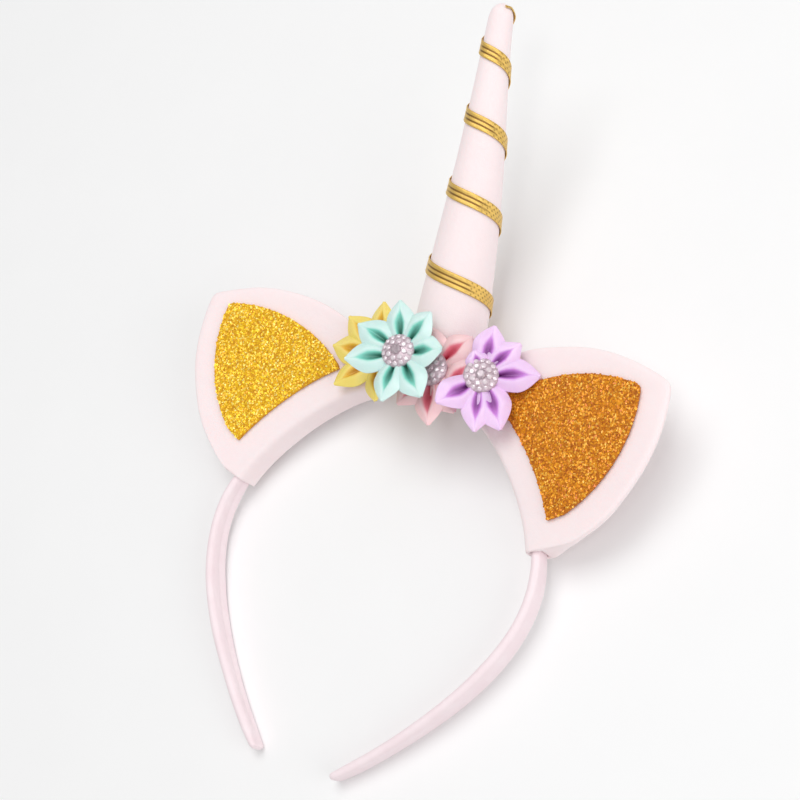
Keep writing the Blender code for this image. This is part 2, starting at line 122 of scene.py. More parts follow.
# %% Shader helpers
class Signal:
    """A value that varies over a surface. Sums on it add Math nodes."""

    def __init__(self, finish, socket):
        self.finish = finish
        self.socket = socket

    def maths(self, operation, first, second):
        return self.finish.maths(operation, first, second)

    def __add__(self, other):
        return self.maths("ADD", self, other)

    def __sub__(self, other):
        return self.maths("SUBTRACT", self, other)

    def __rsub__(self, other):
        return self.maths("SUBTRACT", other, self)

    def __mul__(self, other):
        return self.maths("MULTIPLY", self, other)

    def __pow__(self, other):
        return self.maths("POWER", self, other)

    __radd__ = __add__
    __rmul__ = __mul__


class Finish:
    """A material being made, starting from a Principled shader with constant settings."""

    def __init__(self, name, constants):
        self.material = bpy.data.materials.new(name)
        self.material.use_nodes = True
        self.tree = self.material.node_tree
        self.shader = self.tree.nodes["Principled BSDF"]
        for socket, value in constants.items():
            self.shader.inputs[socket].default_value = value

    def connect(self, socket, value):
        if isinstance(value, Signal):
            self.tree.links.new(value.socket, socket)
        else:
            socket.default_value = value

    def add(self, kind, settings, sockets, output=0):
        """Add a node: its settings and colour stops first, then its sockets' values or links."""
        node = self.tree.nodes.new(kind)
        for name, value in settings.items():
            if name == "stops":
                while len(node.color_ramp.elements) < len(value):
                    node.color_ramp.elements.new(0.5)
                for element, (place, colour) in zip(node.color_ramp.elements, value):
                    element.position = place
                    element.color = (*colour, 1.0)
            else:
                setattr(node, name, value)
        for name, value in sockets.items():
            shown = [socket for socket in node.inputs if socket.enabled]
            found = node.inputs[name] if isinstance(name, int) else next(s for s in shown if s.name == name)
            self.connect(found, value)
        outputs = [socket for socket in node.outputs if socket.enabled]
        found = outputs[output] if isinstance(output, int) else next(s for s in outputs if s.name == output)
        return Signal(self, found)

    def maths(self, operation, first, second=0.0):
        return self.add("ShaderNodeMath", {"operation": operation}, {0: first, 1: second})

    def place(self):
        """Where the point is, in metres in the frame."""
        return self.add("ShaderNodeTexCoord", {}, {}, "Object")

    def carried(self, name, output="Fac"):
        """A value that the mesh itself carries."""
        return self.add("ShaderNodeAttribute", {"attribute_name": name}, {}, output)

    def noise(self, scale, detail=2.0, where=None):
        sockets = {"Vector": where or self.place(), "Scale": scale, "Detail": detail}
        return self.add("ShaderNodeTexNoise", {}, sockets, "Fac")

    def blend(self, share, first, second):
        """A colour between two colours."""
        mix = {"data_type": "RGBA"}
        first, second = (c if isinstance(c, Signal) else (*c, 1.0) for c in (first, second))
        return self.add("ShaderNodeMix", mix, {"Factor": share, "A": first, "B": second}, "Result")

    def relief(self, height, depth, strength=1.0):
        """Send a height, in the given depth in metres, to the shader's normal."""
        bump = {"Height": height, "Distance": depth, "Strength": strength}
        self.connect(self.shader.inputs["Normal"], self.add("ShaderNodeBump", {}, bump))

    def paint(self, socket, value):
        self.connect(self.shader.inputs[socket], value)


def dyed(red, green, blue):
    """A colour as a screen shows it, from 0 to 255, as the share of light that it sends back."""
    shares = (value / 255 for value in (red, green, blue))
    return tuple(v / 12.92 if v <= 0.04045 else ((v + 0.055) / 1.055) ** 2.4 for v in shares)


print("shader helpers ready")

# %% [markdown]
# ## Felt
#
# Felt is matted wool: no weave, a dull surface, and short fibres that catch the light at the
# edges. Two layers of noise make its fibres, one fine and one like small clumps, and a broad
# one shifts the colour a little. The edge light comes from the shader's sheen.

# %% Felt finish
def make_felt(name, pale, deep):
    felt = Finish(name, {
        "Roughness": 0.95, "Sheen Weight": 0.35, "Sheen Roughness": 0.45, "Specular IOR Level": 0.15,
        "Subsurface Weight": 0.12, "Subsurface Scale": 0.003, "Subsurface Radius": (1.0, 0.55, 0.5),
    })
    clumps = felt.noise(420.0, 4.0)
    fibres = felt.noise(2600.0, 3.0)
    patches = felt.noise(45.0, 2.0)
    tone = patches * 0.5 + clumps * 0.35 + fibres * 0.15
    felt.paint("Base Color", felt.blend(tone, deep, pale))
    felt.relief(clumps * 0.6 + fibres * 0.4, 0.00035, 0.55)
    return felt.material


FELT = make_felt("felt_pale_pink", dyed(255, 241, 241), dyed(251, 231, 233))
print("felt:", FELT.name)

# %% [markdown]
# ## Satin
#
# Satin ribbon is bright because its threads float over many others on one side, so it mirrors
# softly across them. The petals carry a value that is 0 on their crests and 1 deep in their
# folds. It paints the colour: paler on the crests as painted highlight, and darker and richer
# in the folds as painted shade. The value named weave holds the way along and across the
# ribbon in millimetres, for its fine lengthwise ribs.

# %% Satin finish
SATIN_RIB = 5.0


def make_satin(name, pale, rich, deep):
    satin = Finish(name, {
        "Sheen Weight": 0.1, "Sheen Roughness": 0.3, "Specular IOR Level": 0.9,
        "Subsurface Weight": 0.06, "Subsurface Scale": 0.001,
    })
    fold = satin.carried("fold")
    ribs = satin.add("ShaderNodeTexWave", {"bands_direction": "Y"}, {
        "Vector": satin.carried("weave", "Vector"), "Scale": SATIN_RIB, "Distortion": 0.6, "Detail": 1.0,
    }, "Fac")
    cloudy = satin.noise(260.0, 2.0)
    # Painted light: the ramp runs from the pale crest colour, a painted highlight, to the deep fold colour, a
    # painted shade.
    stops = ((0.0, dyed(*pale)), (0.35, dyed(*rich)), (1.0, dyed(*deep)))
    ramp = satin.add("ShaderNodeValToRGB", {"stops": stops}, {"Fac": fold * 0.94 + cloudy * 0.12 - 0.03})
    satin.paint("Base Color", ramp)
    satin.paint("Roughness", 0.2 + ribs * 0.05 + cloudy * 0.08)
    satin.relief(ribs * 0.5 + cloudy * 0.5, 0.00006, 0.5)
    return satin.material


# Each satin: its crest colour, paler as painted highlight; its own colour; its fold colour, darker as painted
# shade.
SATINS = {
    "yellow": make_satin("satin_yellow", (255, 232, 118), (244, 190, 30), (186, 112, 0)),
    "pink": make_satin("satin_pink", (255, 216, 218), (246, 130, 148), (206, 52, 80)),
    "mint": make_satin("satin_mint", (220, 246, 242), (132, 222, 204), (8, 96, 76)),
    "lilac": make_satin("satin_lilac", (250, 216, 253), (214, 136, 228), (106, 10, 110)),
}
print("satins:", ", ".join(SATINS))

# %% [markdown]
# ## Glitter, gold ribbon, stones and the band's cover
#
# Glitter is thousands of thin flakes glued to a sheet. The flakes are real geometry here, and
# each carries a random value named tone, so that its colour can differ from its neighbours'.
# The sheet under them gets a cellular pattern of the same colours, for what shows between.
# The gold ribbon is woven from foil threads, with two lines of dark dashes along it and small
# dark checks once in each turn. The dashes show only where each turn faces the front, as a
# painted dark reflection. The stones are foil-backed glass, which reads as bright metal under a
# clear coat. The band's cover is a thin knitted cloth.

# %% Glitter finishes
def make_flakes(name, *shades):
    """Flakes from the darkest shade to the brightest, by the tone that each one carries."""
    flakes = Finish(name, {"Metallic": 0.45, "Coat Weight": 0.35, "Coat Roughness": 0.12})
    tone = flakes.carried("tone")
    stops = [(place, dyed(*shade)) for place, shade in zip((0.0, 0.4, 0.8, 1.0), shades)]
    flakes.paint("Base Color", flakes.add("ShaderNodeValToRGB", {"stops": stops}, {"Fac": tone}))
    flakes.paint("Roughness", 0.3 + tone * 0.2)
    return flakes.material


def make_glitter_sheet(name, dark, mid):
    sheet = Finish(name, {"Metallic": 0.3, "Roughness": 0.5})
    cells = sheet.add("ShaderNodeTexVoronoi", {}, {"Vector": sheet.place(), "Scale": 1500.0}, "Color")
    grey = sheet.add("ShaderNodeRGBToBW", {}, {"Color": cells})
    sheet.paint("Base Color", sheet.blend(grey, dyed(*dark), dyed(*mid)))
    sheet.relief(grey, 0.0003, 0.8)
    return sheet.material


# One gold glitter on both ears: the left is painted yellower and lighter as painted light, the right more
# orange and darker as painted shade.
FLAKES = {
    "left": make_flakes("flakes_gold_lit", (218, 150, 0), (250, 196, 0), (255, 216, 30), (255, 242, 150)),
    "right": make_flakes("flakes_gold_shaded", (186, 92, 0), (232, 142, 0), (248, 168, 10), (255, 206, 90)),
}
# The sheets carry the same painted light on the left ear and painted shade on the right.
GLITTER_SHEETS = {
    "left": make_glitter_sheet("glitter_sheet_gold_lit", (200, 130, 0), (244, 188, 10)),
    "right": make_glitter_sheet("glitter_sheet_gold_shaded", (164, 82, 0), (226, 140, 0)),
}
print("glitter:", ", ".join(FLAKES))

# %% Gold ribbon finish
GOLD = (250, 216, 124)
GOLD_SHADE = (214, 166, 70)
GOLD_LINES_AND_REFLECTION_DARK = (112, 68, 22)
GOLD_LINE_PLACE = 0.75
GOLD_LINE_WIDTH = 0.5


def make_gold_ribbon():
    """Foil cloth. Its weave value holds the way along and across (mm), and the turn it is on."""
    gold = Finish("gold_lame", {"Metallic": 0.75, "Coat Weight": 0.2, "Coat Roughness": 0.25})
    weave = gold.carried("weave", "Vector")
    along, across, turn = (gold.add("ShaderNodeSeparateXYZ", {}, {"Vector": weave}, axis) for axis in "XYZ")
    threads = gold.add("ShaderNodeTexWave", {"bands_direction": "X"}, {
        "Vector": weave, "Scale": 1.2, "Distortion": 1.5, "Detail": 1.0,
    }, "Fac")
    patches = gold.noise(240.0, 3.0)
    away = gold.maths("ABSOLUTE", gold.maths("ABSOLUTE", across) - GOLD_LINE_PLACE)
    ease = {"interpolation_type": "SMOOTHSTEP"}
    line = gold.add("ShaderNodeMapRange", ease, {"Value": away, "From Min": GOLD_LINE_WIDTH, "From Max": 0.1})
    # Painted dark reflection: the dashes darken where each turn faces the front, set by the turn, with noise.
    front_reflection_beat = gold.maths("COSINE", turn * (2 * pi) - 4.6) + patches * 0.8
    reflection_dash = gold.add("ShaderNodeMapRange", ease, {"Value": front_reflection_beat, "From Min": 0.85, "From Max": 1.3})
    small = gold.maths("SINE", along * 3.2) * gold.maths("COSINE", across * 3.4)
    check = gold.add("ShaderNodeMapRange", ease, {"Value": small, "From Min": 0.25, "From Max": 0.8})
    edge = gold.maths("COSINE", turn * (2 * pi) - 3.3)
    near_edge = gold.add("ShaderNodeMapRange", ease, {"Value": edge, "From Min": 0.7, "From Max": 0.95})
    base = gold.blend(threads * 0.6 + patches * 0.4, dyed(*GOLD_SHADE), dyed(*GOLD))
    # The dark colour goes on the lines as painted dark reflection and on the checks at one side of each turn.
    dark = gold.maths("MAXIMUM", line * reflection_dash, check * near_edge * 0.7)
    gold.paint("Base Color", gold.blend(dark * 0.9, base, dyed(*GOLD_LINES_AND_REFLECTION_DARK)))
    gold.paint("Roughness", 0.3 + threads * 0.15)
    gold.relief(threads * 0.6 + patches * 0.4, 0.0001, 0.5)
    return gold.material


GOLD_RIBBON = make_gold_ribbon()
print("ribbon:", GOLD_RIBBON.name)

# %% Stone, setting and cover finishes
def make_stone():
    stone = Finish("stone_clear", {
        "Metallic": 0.3, "Roughness": 0.16, "Coat Weight": 1.0, "Coat Roughness": 0.03, "IOR": 1.55,
    })
    clouds = stone.noise(900.0, 1.0)
    stone.paint("Base Color", stone.blend(clouds, dyed(222, 200, 210), dyed(252, 244, 248)))
    return stone.material


def make_setting():
    metal = Finish("setting_metal", {"Metallic": 0.35})
    wear = metal.noise(700.0, 3.0)
    metal.paint("Base Color", metal.blend(wear, dyed(180, 158, 168), dyed(232, 214, 222)))
    metal.paint("Roughness", 0.3 + wear * 0.2)
    return metal.material


def make_band_cover():
    cover = Finish("band_cloth", {"Sheen Weight": 0.2, "Sheen Roughness": 0.35, "Specular IOR Level": 0.45})
    ribs = cover.add("ShaderNodeTexWave", {"bands_direction": "X"}, {
        "Vector": cover.carried("weave", "Vector"), "Scale": 1.2, "Distortion": 0.4, "Detail": 1.0,
    }, "Fac")
    slubs = cover.noise(160.0, 3.0)
    cover.paint("Base Color", cover.blend(slubs, dyed(248, 226, 231), dyed(255, 242, 245)))
    cover.paint("Roughness", 0.42 + slubs * 0.2)
    cover.relief(ribs * 0.5 + slubs * 0.5, 0.00012, 0.5)
    return cover.material


STONE = make_stone()
SETTING = make_setting()
BAND_CLOTH = make_band_cover()
print("finishes:", len(bpy.data.materials))

# %% [markdown]
# ## Making a piece
#
# Most pieces are a row of closed rings joined by faces, like the hoops of a barrel. One
# function joins the rings. A second one turns the mesh into a finished piece: it brings it
# from worn millimetres to its place in the frame, gives it its finish, lets it ride on the
# frame's one body, and names the solid whose place it takes.

# %% Mesh helpers
def join_rings(bm, rings, closed=True):
    """Faces between neighbouring rings of points, and the rings' corners."""
    made = [[bm.verts.new(point) for point in ring] for ring in rings]
    last = 0 if closed else 1
    for lower, upper in zip(made, made[1:]):
        for i in range(len(lower) - last):
            j = (i + 1) % len(lower)
            bm.faces.new((lower[i], lower[j], upper[j], upper[i]))
    return made


def finish_piece(name, mesh, materials, stands_for=(), matrix=WORN):
    """Put a worn mesh in its place as a piece of the object."""
    mesh.transform(matrix)
    for material in materials:
        mesh.materials.append(material)
    piece = bpy.data.objects.new(name, mesh)
    bpy.context.scene.collection.objects.link(piece)
    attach(piece, "root")
    if stands_for:
        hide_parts(*stands_for)
    triangles = sum(len(face.vertices) - 2 for face in mesh.polygons)
    print(f"{name}: {triangles} triangles")
    return piece


def to_mesh(name, bm, smooth=True):
    bmesh.ops.recalc_face_normals(bm, faces=bm.faces)
    mesh = bpy.data.meshes.new(name)
    bm.to_mesh(mesh)
    bm.free()
    for face in mesh.polygons:
        face.use_smooth = smooth
    return mesh


def with_modifiers(mesh, *modifiers):
    """The mesh after a row of modifiers, each given as its type and its settings."""
    holder = bpy.data.objects.new("holder", mesh)
    bpy.context.scene.collection.objects.link(holder)
    for kind, settings in modifiers:
        modifier = holder.modifiers.new(kind.lower(), kind)
        for key, value in settings.items():
            setattr(modifier, key, value)
    shown = holder.evaluated_get(bpy.context.evaluated_depsgraph_get())
    made = bpy.data.meshes.new_from_object(shown)
    bpy.data.objects.remove(holder)
    return made


def smoother(levels=1):
    return "SUBSURF", {"levels": levels, "render_levels": levels}


def smooth_step(low, high, x):
    t = min(max((x - low) / (high - low), 0.0), 1.0)
    return t * t * (3.0 - 2.0 * t)


def table_value(table, x):
    """Straight-line reading of a table of (x, value) rows."""
    return float(np.interp(x, [row[0] for row in table], [row[1] for row in table]))


print("mesh helpers ready")

# %% [markdown]
# ## The band's middle line
#
# A hair band is a springy strip. Its shape is told best by how sharply it bends on its way
# from the crown to the tip, so the table below gives that bend, and the class adds it up
# step by step. Everything that sits on the band is then placed by three numbers: the way
# along the band, the way out of it, and the worn Y.

# %% Band line
BAND_HALF_LENGTH = 182.4
BAND_WIDTH_CROWN = 8.0
# distance from the crown (mm), width (mm)
BAND_WIDTHS = (
    (0.0, BAND_WIDTH_CROWN), (81.0, BAND_WIDTH_CROWN), (88.0, 9.0), (104.0, 9.3),
    (120.0, 10.4), (138.0, 10.0), (156.0, 8.4), (182.4, 7.2),
)
# distance from the crown (mm), bend (1/m)
BAND_BEND = ((0.0, 25.5), (30.4, 13.3), (60.8, 9.2), (91.2, 27.2), (121.6, 10.8), (152.0, 4.0), (182.4, 6.9))


class BandLine:
    """The band's middle line, followed from the crown by its bend; the left side mirrors it."""

    STEP = 0.2

    def __init__(self):
        count = int(BAND_HALF_LENGTH / self.STEP) + 25
        middles = (np.arange(count) + 0.5) * self.STEP
        bend = np.interp(middles, [row[0] for row in BAND_BEND], [row[1] * MM for row in BAND_BEND])
        self.distance = np.arange(count + 1) * self.STEP
        self.heading = np.concatenate([[0.0], np.cumsum(bend) * self.STEP])
        mid_heading = self.heading[:-1] + bend * self.STEP / 2
        self.x = np.concatenate([[0.0], np.cumsum(np.cos(mid_heading)) * self.STEP])
        self.z = np.concatenate([[0.0], -np.cumsum(np.sin(mid_heading)) * self.STEP])

    def at(self, s):
        """Position and downward heading at the distance s, negative on the left side."""
        x, z, heading = (float(np.interp(abs(s), self.distance, v)) for v in (self.x, self.z, self.heading))
        side = -1.0 if s < 0 else 1.0
        return side * x, z, side * heading

    def place(self, s, out, y):
        x, z, heading = self.at(s)
        return Vector((x + out * sin(heading), y, z + out * cos(heading)))


BAND_LINE = BandLine()
print("band tips apart (mm):", round(2 * BAND_LINE.at(BAND_HALF_LENGTH)[0], 1))

# %% [markdown]
# ## The covered band
#
# The strip is moulded plastic inside a tube of thin cloth. The cloth is glued down inside the
# band, where its two edges meet in a shallow seam, and pressed flat at the tips. A section with
# a small notch on its inner side, swept along the band line, gives that seam. The seam fades
# out before each tip, and the tip itself is thin, with rounded corners.

# %% Band
COVER_STATION = 2.4
COVER_SECTION_STEPS = 8
SEAM_HALF_WIDTH = 0.5
SEAM_DEPTH = 0.22
TIP_CORNER = 1.6
TIP_STEPS = 6
TIP_PRESSED_LENGTH = 9.0
TIP_PRESSED_SHARE = 0.72
TIP_THINNING = 0.35


def cover_section(width, thickness, seam_depth):
    """The covered strip's outline as (out, y) pairs, with the seam's notch on the inside."""
    half, edge = width / 2, thickness / 2
    flat = half - edge
    angles = [pi * i / COVER_SECTION_STEPS for i in range(COVER_SECTION_STEPS + 1)]
    low_edge = [(edge * cos(a), -flat - edge * sin(a)) for a in angles]
    high_edge = [(-edge * cos(a), flat + edge * sin(a)) for a in angles]
    seam = [(-edge, -SEAM_HALF_WIDTH), (-edge + seam_depth, 0.0), (-edge, SEAM_HALF_WIDTH)]
    return low_edge + seam + high_edge


def band_stations():
    count = round(2 * BAND_HALF_LENGTH / COVER_STATION)
    inner = [-BAND_HALF_LENGTH + COVER_STATION * i for i in range(1, count)]
    corner = [TIP_CORNER * (1.0 - cos(pi / 2 * k / TIP_STEPS)) for k in range(TIP_STEPS + 1)]
    start = [-BAND_HALF_LENGTH + inwards for inwards in corner]
    return start + inner + [-s for s in reversed(start)]


def make_band():
    bm = bmesh.new()
    weave = bm.verts.layers.float_vector.new("weave")
    rings, notes = [], []
    for s in band_stations():
        from_tip = BAND_HALF_LENGTH - abs(s)
        into_corner = max(1.0 - from_tip / TIP_CORNER, 0.0)
        narrower = 2 * TIP_CORNER * (1.0 - sqrt(1.0 - into_corner ** 2))
        risen = smooth_step(0.0, TIP_PRESSED_LENGTH, from_tip)
        pressed = TIP_PRESSED_SHARE + (1.0 - TIP_PRESSED_SHARE) * risen
        thickness = BAND_THICKNESS * pressed * (1.0 - TIP_THINNING * into_corner ** 2)
        width = table_value(BAND_WIDTHS, abs(s)) - narrower
        seam = SEAM_DEPTH * smooth_step(TIP_CORNER, TIP_PRESSED_LENGTH, from_tip)
        outline = cover_section(width, thickness, seam)
        rings.append([BAND_LINE.place(s, out, y) for out, y in outline])
        notes.append([Vector((s, y, 0.0)) for _, y in outline])
    made = join_rings(bm, rings)
    for ring, ring_notes in zip(made, notes):
        for corner, note in zip(ring, ring_notes):
            corner[weave] = note
    bm.faces.new(made[0])
    bm.faces.new(made[-1])
    mesh = to_mesh("band_cover", bm)
    return finish_piece("band_cover", mesh, [BAND_CLOTH], ["band"])


make_band()

# %% [markdown]
# ## Felt ears
#
# Each ear is cut from thick felt, with a part that wraps round the band as a sleeve. Seen from
# the front it is a leaf between two round edges. The reach of the leaf at each place along
# the band is where a line straight out of the band meets the nearer edge. The leaf is modelled
# as closed sections across the band, from the sleeve to the rim. A subdivision surface then
# rounds the rim as felt rounds, and a little unevenness keeps the cut edge from looking ruled.

# %% Ear shape
GAP = 0.3
FELT_THICKNESS = 1.5
EAR_START = 19.5
EAR_ENDS = {"left": 82.0, "right": 79.8}
EAR_LEAN = 0.18
EAR_EDGE = 3.0
EAR_TIP_SOFTNESS = 0.5
SLEEVE_TAPER_END = 16.0
SLEEVE_LEAST_WALL = 1.6
# centre X, centre Z, radius of the round edge
EAR_TOP_EDGE = (60.2, -48.5, 67.5)
EAR_OUTER_EDGE = (33.5, 0.85, 57.8)
SLEEVE_INNER = BAND_THICKNESS / 2 + GAP + FELT_THICKNESS
SLEEVE_HALF_WIDTH = BAND_WIDTH_CROWN / 2 + GAP + FELT_THICKNESS


def reach(s, edges):
    """How far out of the middle line a ray at s meets the nearer of two round edges."""
    x, z, heading = BAND_LINE.at(abs(s))
    distances = []
    for centre_x, centre_z, radius in edges:
        away = (x - centre_x) * sin(heading) + (z - centre_z) * cos(heading)
        square = (x - centre_x) ** 2 + (z - centre_z) ** 2 - radius ** 2
        distances.append(-away + sqrt(max(away ** 2 - square, 0.0)))
    first, second = distances
    soft = EAR_TIP_SOFTNESS
    return min(first, second) - soft * log(1.0 + exp(-abs(first - second) / soft))


def ear_front(out):
    return -SLEEVE_HALF_WIDTH - EAR_LEAN * max(out, 0.0)


def ear_back(out):
    closed = smooth_step(1.0, SLEEVE_TAPER_END, out)
    return SLEEVE_HALF_WIDTH + (ear_front(out) + EAR_EDGE - SLEEVE_HALF_WIDTH) * closed


print("reach of the ear at its middle (mm):", round(reach(45.0, (EAR_TOP_EDGE, EAR_OUTER_EDGE)), 1))

# %% Ears
EAR_SECTIONS = 60
LEAF_ROWS = 12
RIM_BEVEL = 0.9
UNEVENNESS = 0.22
UNEVEN_SIZE = 9.0
# the sleeve's underside: share of its depth, distance in from its side (mm)
SLEEVE_UNDERSIDE = ((0.0, 0.0), (0.55, 0.25), (0.85, 1.0), (1.0, 2.6), (1.0, 4.6))


def ear_section(edge):
    """The felt's outline across the band, as (out, y) pairs, for an ear that reaches edge."""
    leaf = [SLEEVE_INNER + (edge - RIM_BEVEL - SLEEVE_INNER) * i / LEAF_ROWS for i in range(LEAF_ROWS + 1)]
    front = [(out, ear_front(out)) for out in reversed(leaf)]
    back = [(out, ear_back(out)) for out in leaf]
    under = [(-share * SLEEVE_INNER, inset - SLEEVE_HALF_WIDTH) for share, inset in SLEEVE_UNDERSIDE]
    under += [(out, -y) for out, y in reversed(under)]
    low, high = ear_front(edge), ear_back(edge)
    rim = [(edge, high - 0.25 * (high - low)), (edge, low + 0.25 * (high - low))]
    return front + under + back + rim


def channel_section(outline):
    """The hole for the band, with a point for each point of the section's outline."""
    half_width, half_depth = SLEEVE_HALF_WIDTH - FELT_THICKNESS, SLEEVE_INNER - FELT_THICKNESS
    return [
        (max(-half_depth, min(half_depth, out)), max(-half_width, min(half_width, y)))
        for out, y in outline
    ]


def uneven(point, amount):
    """A small, smooth and repeatable shift of a point."""
    phase = point / UNEVEN_SIZE
    wave = sin(2.1 * phase.x + 1.3 * phase.z) + sin(1.7 * phase.z - 2.6 * phase.x + 0.8)
    bulge = 0.4 * sin(3.1 * phase.x + 2.3 * phase.z)
    return Vector((wave, bulge, sin(2.4 * phase.z + 0.5) - 0.5 * wave)) * amount / 2


def make_ear(side_name, side):
    bm = bmesh.new()
    outer, channel = [], []
    for i in range(EAR_SECTIONS + 1):
        s = EAR_START + (EAR_ENDS[side_name] - EAR_START) * i / EAR_SECTIONS
        edge = max(reach(s, (EAR_TOP_EDGE, EAR_OUTER_EDGE)), SLEEVE_INNER + SLEEVE_LEAST_WALL)
        outline = ear_section(edge)
        share = smooth_step(SLEEVE_INNER, 2 * SLEEVE_INNER + 6.0, edge)
        points = []
        for out, y in outline:
            point = BAND_LINE.place(side * s, out, y)
            points.append(point + uneven(point, UNEVENNESS) * share * smooth_step(0.4 * edge, edge, out))
        outer.append(points)
        channel.append([BAND_LINE.place(side * s, out, y) for out, y in channel_section(outline)])
    join_rings(bm, outer + channel[::-1] + outer[:1])
    bmesh.ops.remove_doubles(bm, verts=bm.verts, dist=0.0005)
    mesh = with_modifiers(to_mesh("ear_" + side_name, bm), smoother())
    piece = finish_piece("ear_" + side_name, mesh, [FELT], ["ear_felt_" + side_name])
    return piece


make_ear("left", -1.0)
make_ear("right", 1.0)

# %% [markdown]
# ## Glitter panels
#
# A panel is a thin sheet, cut to the ear's shape with a felt border all round, and covered in
# flakes. The sheet is a thin closed slab. The flakes are spread over its front by Geometry
# Nodes: points at random on the faces that are marked as front, a six-sided flake on each,
# tilted and sized at random, with a seed so that they fall the same way each time.

# %% Glitter panels
GLITTER_THICKNESS = 1.0
GLITTER_INNER = 6.5
GLITTER_LEAST_WIDTH = 1.5
GLITTER_SECTIONS = 48
GLITTER_ROWS = 10
GLITTER_TOP_EDGE = (69.0, -47.0, 57.5)
GLITTER_OUTER_EDGE = (33.5, 0.85, 48.5)
FLAKES_PER_MM2 = 4.2
FLAKE_RADIUS = 0.42
FLAKE_THICKNESS = 0.07
FLAKE_TILT = 0.3
FLAKE_SIZES = (0.55, 1.15)
TONE_SEED = 7


def make_flake():
    """One six-sided flake, flat in X and Y."""
    bm = bmesh.new()
    corners = [FLAKE_RADIUS * Vector((cos(pi * i / 3), sin(pi * i / 3), 0.0)) for i in range(6)]
    half = Vector((0.0, 0.0, FLAKE_THICKNESS / 2))
    made = join_rings(bm, [[corner + lift for corner in corners] for lift in (-half, half)])
    bm.faces.new(made[0])
    bm.faces.new(made[-1])
    return bpy.data.objects.new("flake_pattern", to_mesh("flake_pattern", bm, smooth=False))


class Recipe:
    """A Geometry Nodes tree being made. Its inputs are named and keep their identifiers."""

    KINDS = {
        "object": "NodeSocketObject", "material": "NodeSocketMaterial",
        "float": "NodeSocketFloat", "int": "NodeSocketInt",
    }

    def __init__(self, name, inputs):
        self.tree = bpy.data.node_groups.new(name, "GeometryNodeTree")
        interface = self.tree.interface
        interface.new_socket("Geometry", in_out="INPUT", socket_type="NodeSocketGeometry")
        self.identifiers = {}
        for label, kind in inputs.items():
            socket = interface.new_socket(label, in_out="INPUT", socket_type=self.KINDS[kind])
            self.identifiers[label] = socket.identifier
        interface.new_socket("Geometry", in_out="OUTPUT", socket_type="NodeSocketGeometry")
        self.start = self.tree.nodes.new("NodeGroupInput")
        self.end = self.tree.nodes.new("NodeGroupOutput")

    def given(self, label):
        return self.start.outputs[label]

    def add(self, kind, settings, sockets, output=0):
        node = self.tree.nodes.new(kind)
        for name, value in settings.items():
            setattr(node, name, value)
        for name, value in sockets.items():
            shown = [socket for socket in node.inputs if socket.enabled]
            found = node.inputs[name] if isinstance(name, int) else next(s for s in shown if s.name == name)
            for item in value if isinstance(value, list) else [value]:
                if isinstance(item, bpy.types.NodeSocket):
                    self.tree.links.new(item, found)
                else:
                    found.default_value = item
        outputs = [socket for socket in node.outputs if socket.enabled]
        return outputs[output] if isinstance(output, int) else next(s for s in outputs if s.name == output)

    def result(self, socket):
        self.tree.links.new(socket, self.end.inputs[0])

    def run(self, mesh, *rounds):
        """The mesh after the recipe, once for each round of input values."""
        holder = bpy.data.objects.new("holder", mesh)
        bpy.context.scene.collection.objects.link(holder)
        for values in rounds:
            modifier = holder.modifiers.new("recipe", "NODES")
            modifier.node_group = self.tree
            for label, value in values.items():
                modifier[self.identifiers[label]] = value
        shown = holder.evaluated_get(bpy.context.evaluated_depsgraph_get())
        made = bpy.data.meshes.new_from_object(shown)
        bpy.data.objects.remove(holder)
        return made


def glitter_recipe():
    recipe = Recipe("scatter_flakes", {
        "Flake": "object", "Density": "float", "Tilt": "float", "Seed": "int", "Material": "material",
    })
    given = recipe.given
    number = {"data_type": "FLOAT"}
    front = recipe.add("GeometryNodeInputNamedAttribute", number, {"Name": "front"}, "Attribute")
    density = recipe.add("ShaderNodeMath", {"operation": "MULTIPLY"}, {0: front, 1: given("Density")})
    spread = {"Mesh": given("Geometry"), "Density": density, "Seed": given("Seed")}
    points = recipe.add("GeometryNodeDistributePointsOnFaces", {}, spread, "Points")
    facing = next(s for s in points.node.outputs if s.name == "Rotation")
    lowest = recipe.add("ShaderNodeMath", {"operation": "MULTIPLY"}, {0: given("Tilt"), 1: -1.0})
    least = recipe.add("ShaderNodeCombineXYZ", {}, {"X": lowest, "Y": lowest, "Z": -pi})
    most = recipe.add("ShaderNodeCombineXYZ", {}, {"X": given("Tilt"), "Y": given("Tilt"), "Z": pi})
    turn = recipe.add("FunctionNodeRandomValue", {"data_type": "FLOAT_VECTOR"}, {
        "Min": least, "Max": most, "Seed": given("Seed"),
    })
    tilt = recipe.add("FunctionNodeEulerToRotation", {}, {"Euler": turn})
    facing = recipe.add("FunctionNodeRotateRotation", {"rotation_space": "LOCAL"}, {
        "Rotation": facing, "Rotate By": tilt,
    })
    size = recipe.add("FunctionNodeRandomValue", number, {
        "Min": FLAKE_SIZES[0], "Max": FLAKE_SIZES[1], "Seed": given("Seed"),
    })
    flake = recipe.add("GeometryNodeObjectInfo", {}, {"Object": given("Flake")}, "Geometry")
    placed = recipe.add("GeometryNodeInstanceOnPoints", {}, {
        "Points": points, "Instance": flake, "Rotation": facing, "Scale": size,
    })
    tone = recipe.add("FunctionNodeRandomValue", number, {"Min": 0.0, "Max": 1.0, "Seed": TONE_SEED})
    toned = recipe.add("GeometryNodeStoreNamedAttribute", {"data_type": "FLOAT", "domain": "INSTANCE"}, {
        "Geometry": placed, "Name": "tone", "Value": tone,
    })
    real = recipe.add("GeometryNodeRealizeInstances", {}, {"Geometry": toned})
    finished = recipe.add("GeometryNodeSetMaterial", {}, {"Geometry": real, "Material": given("Material")})
    recipe.result(finished)
    return recipe


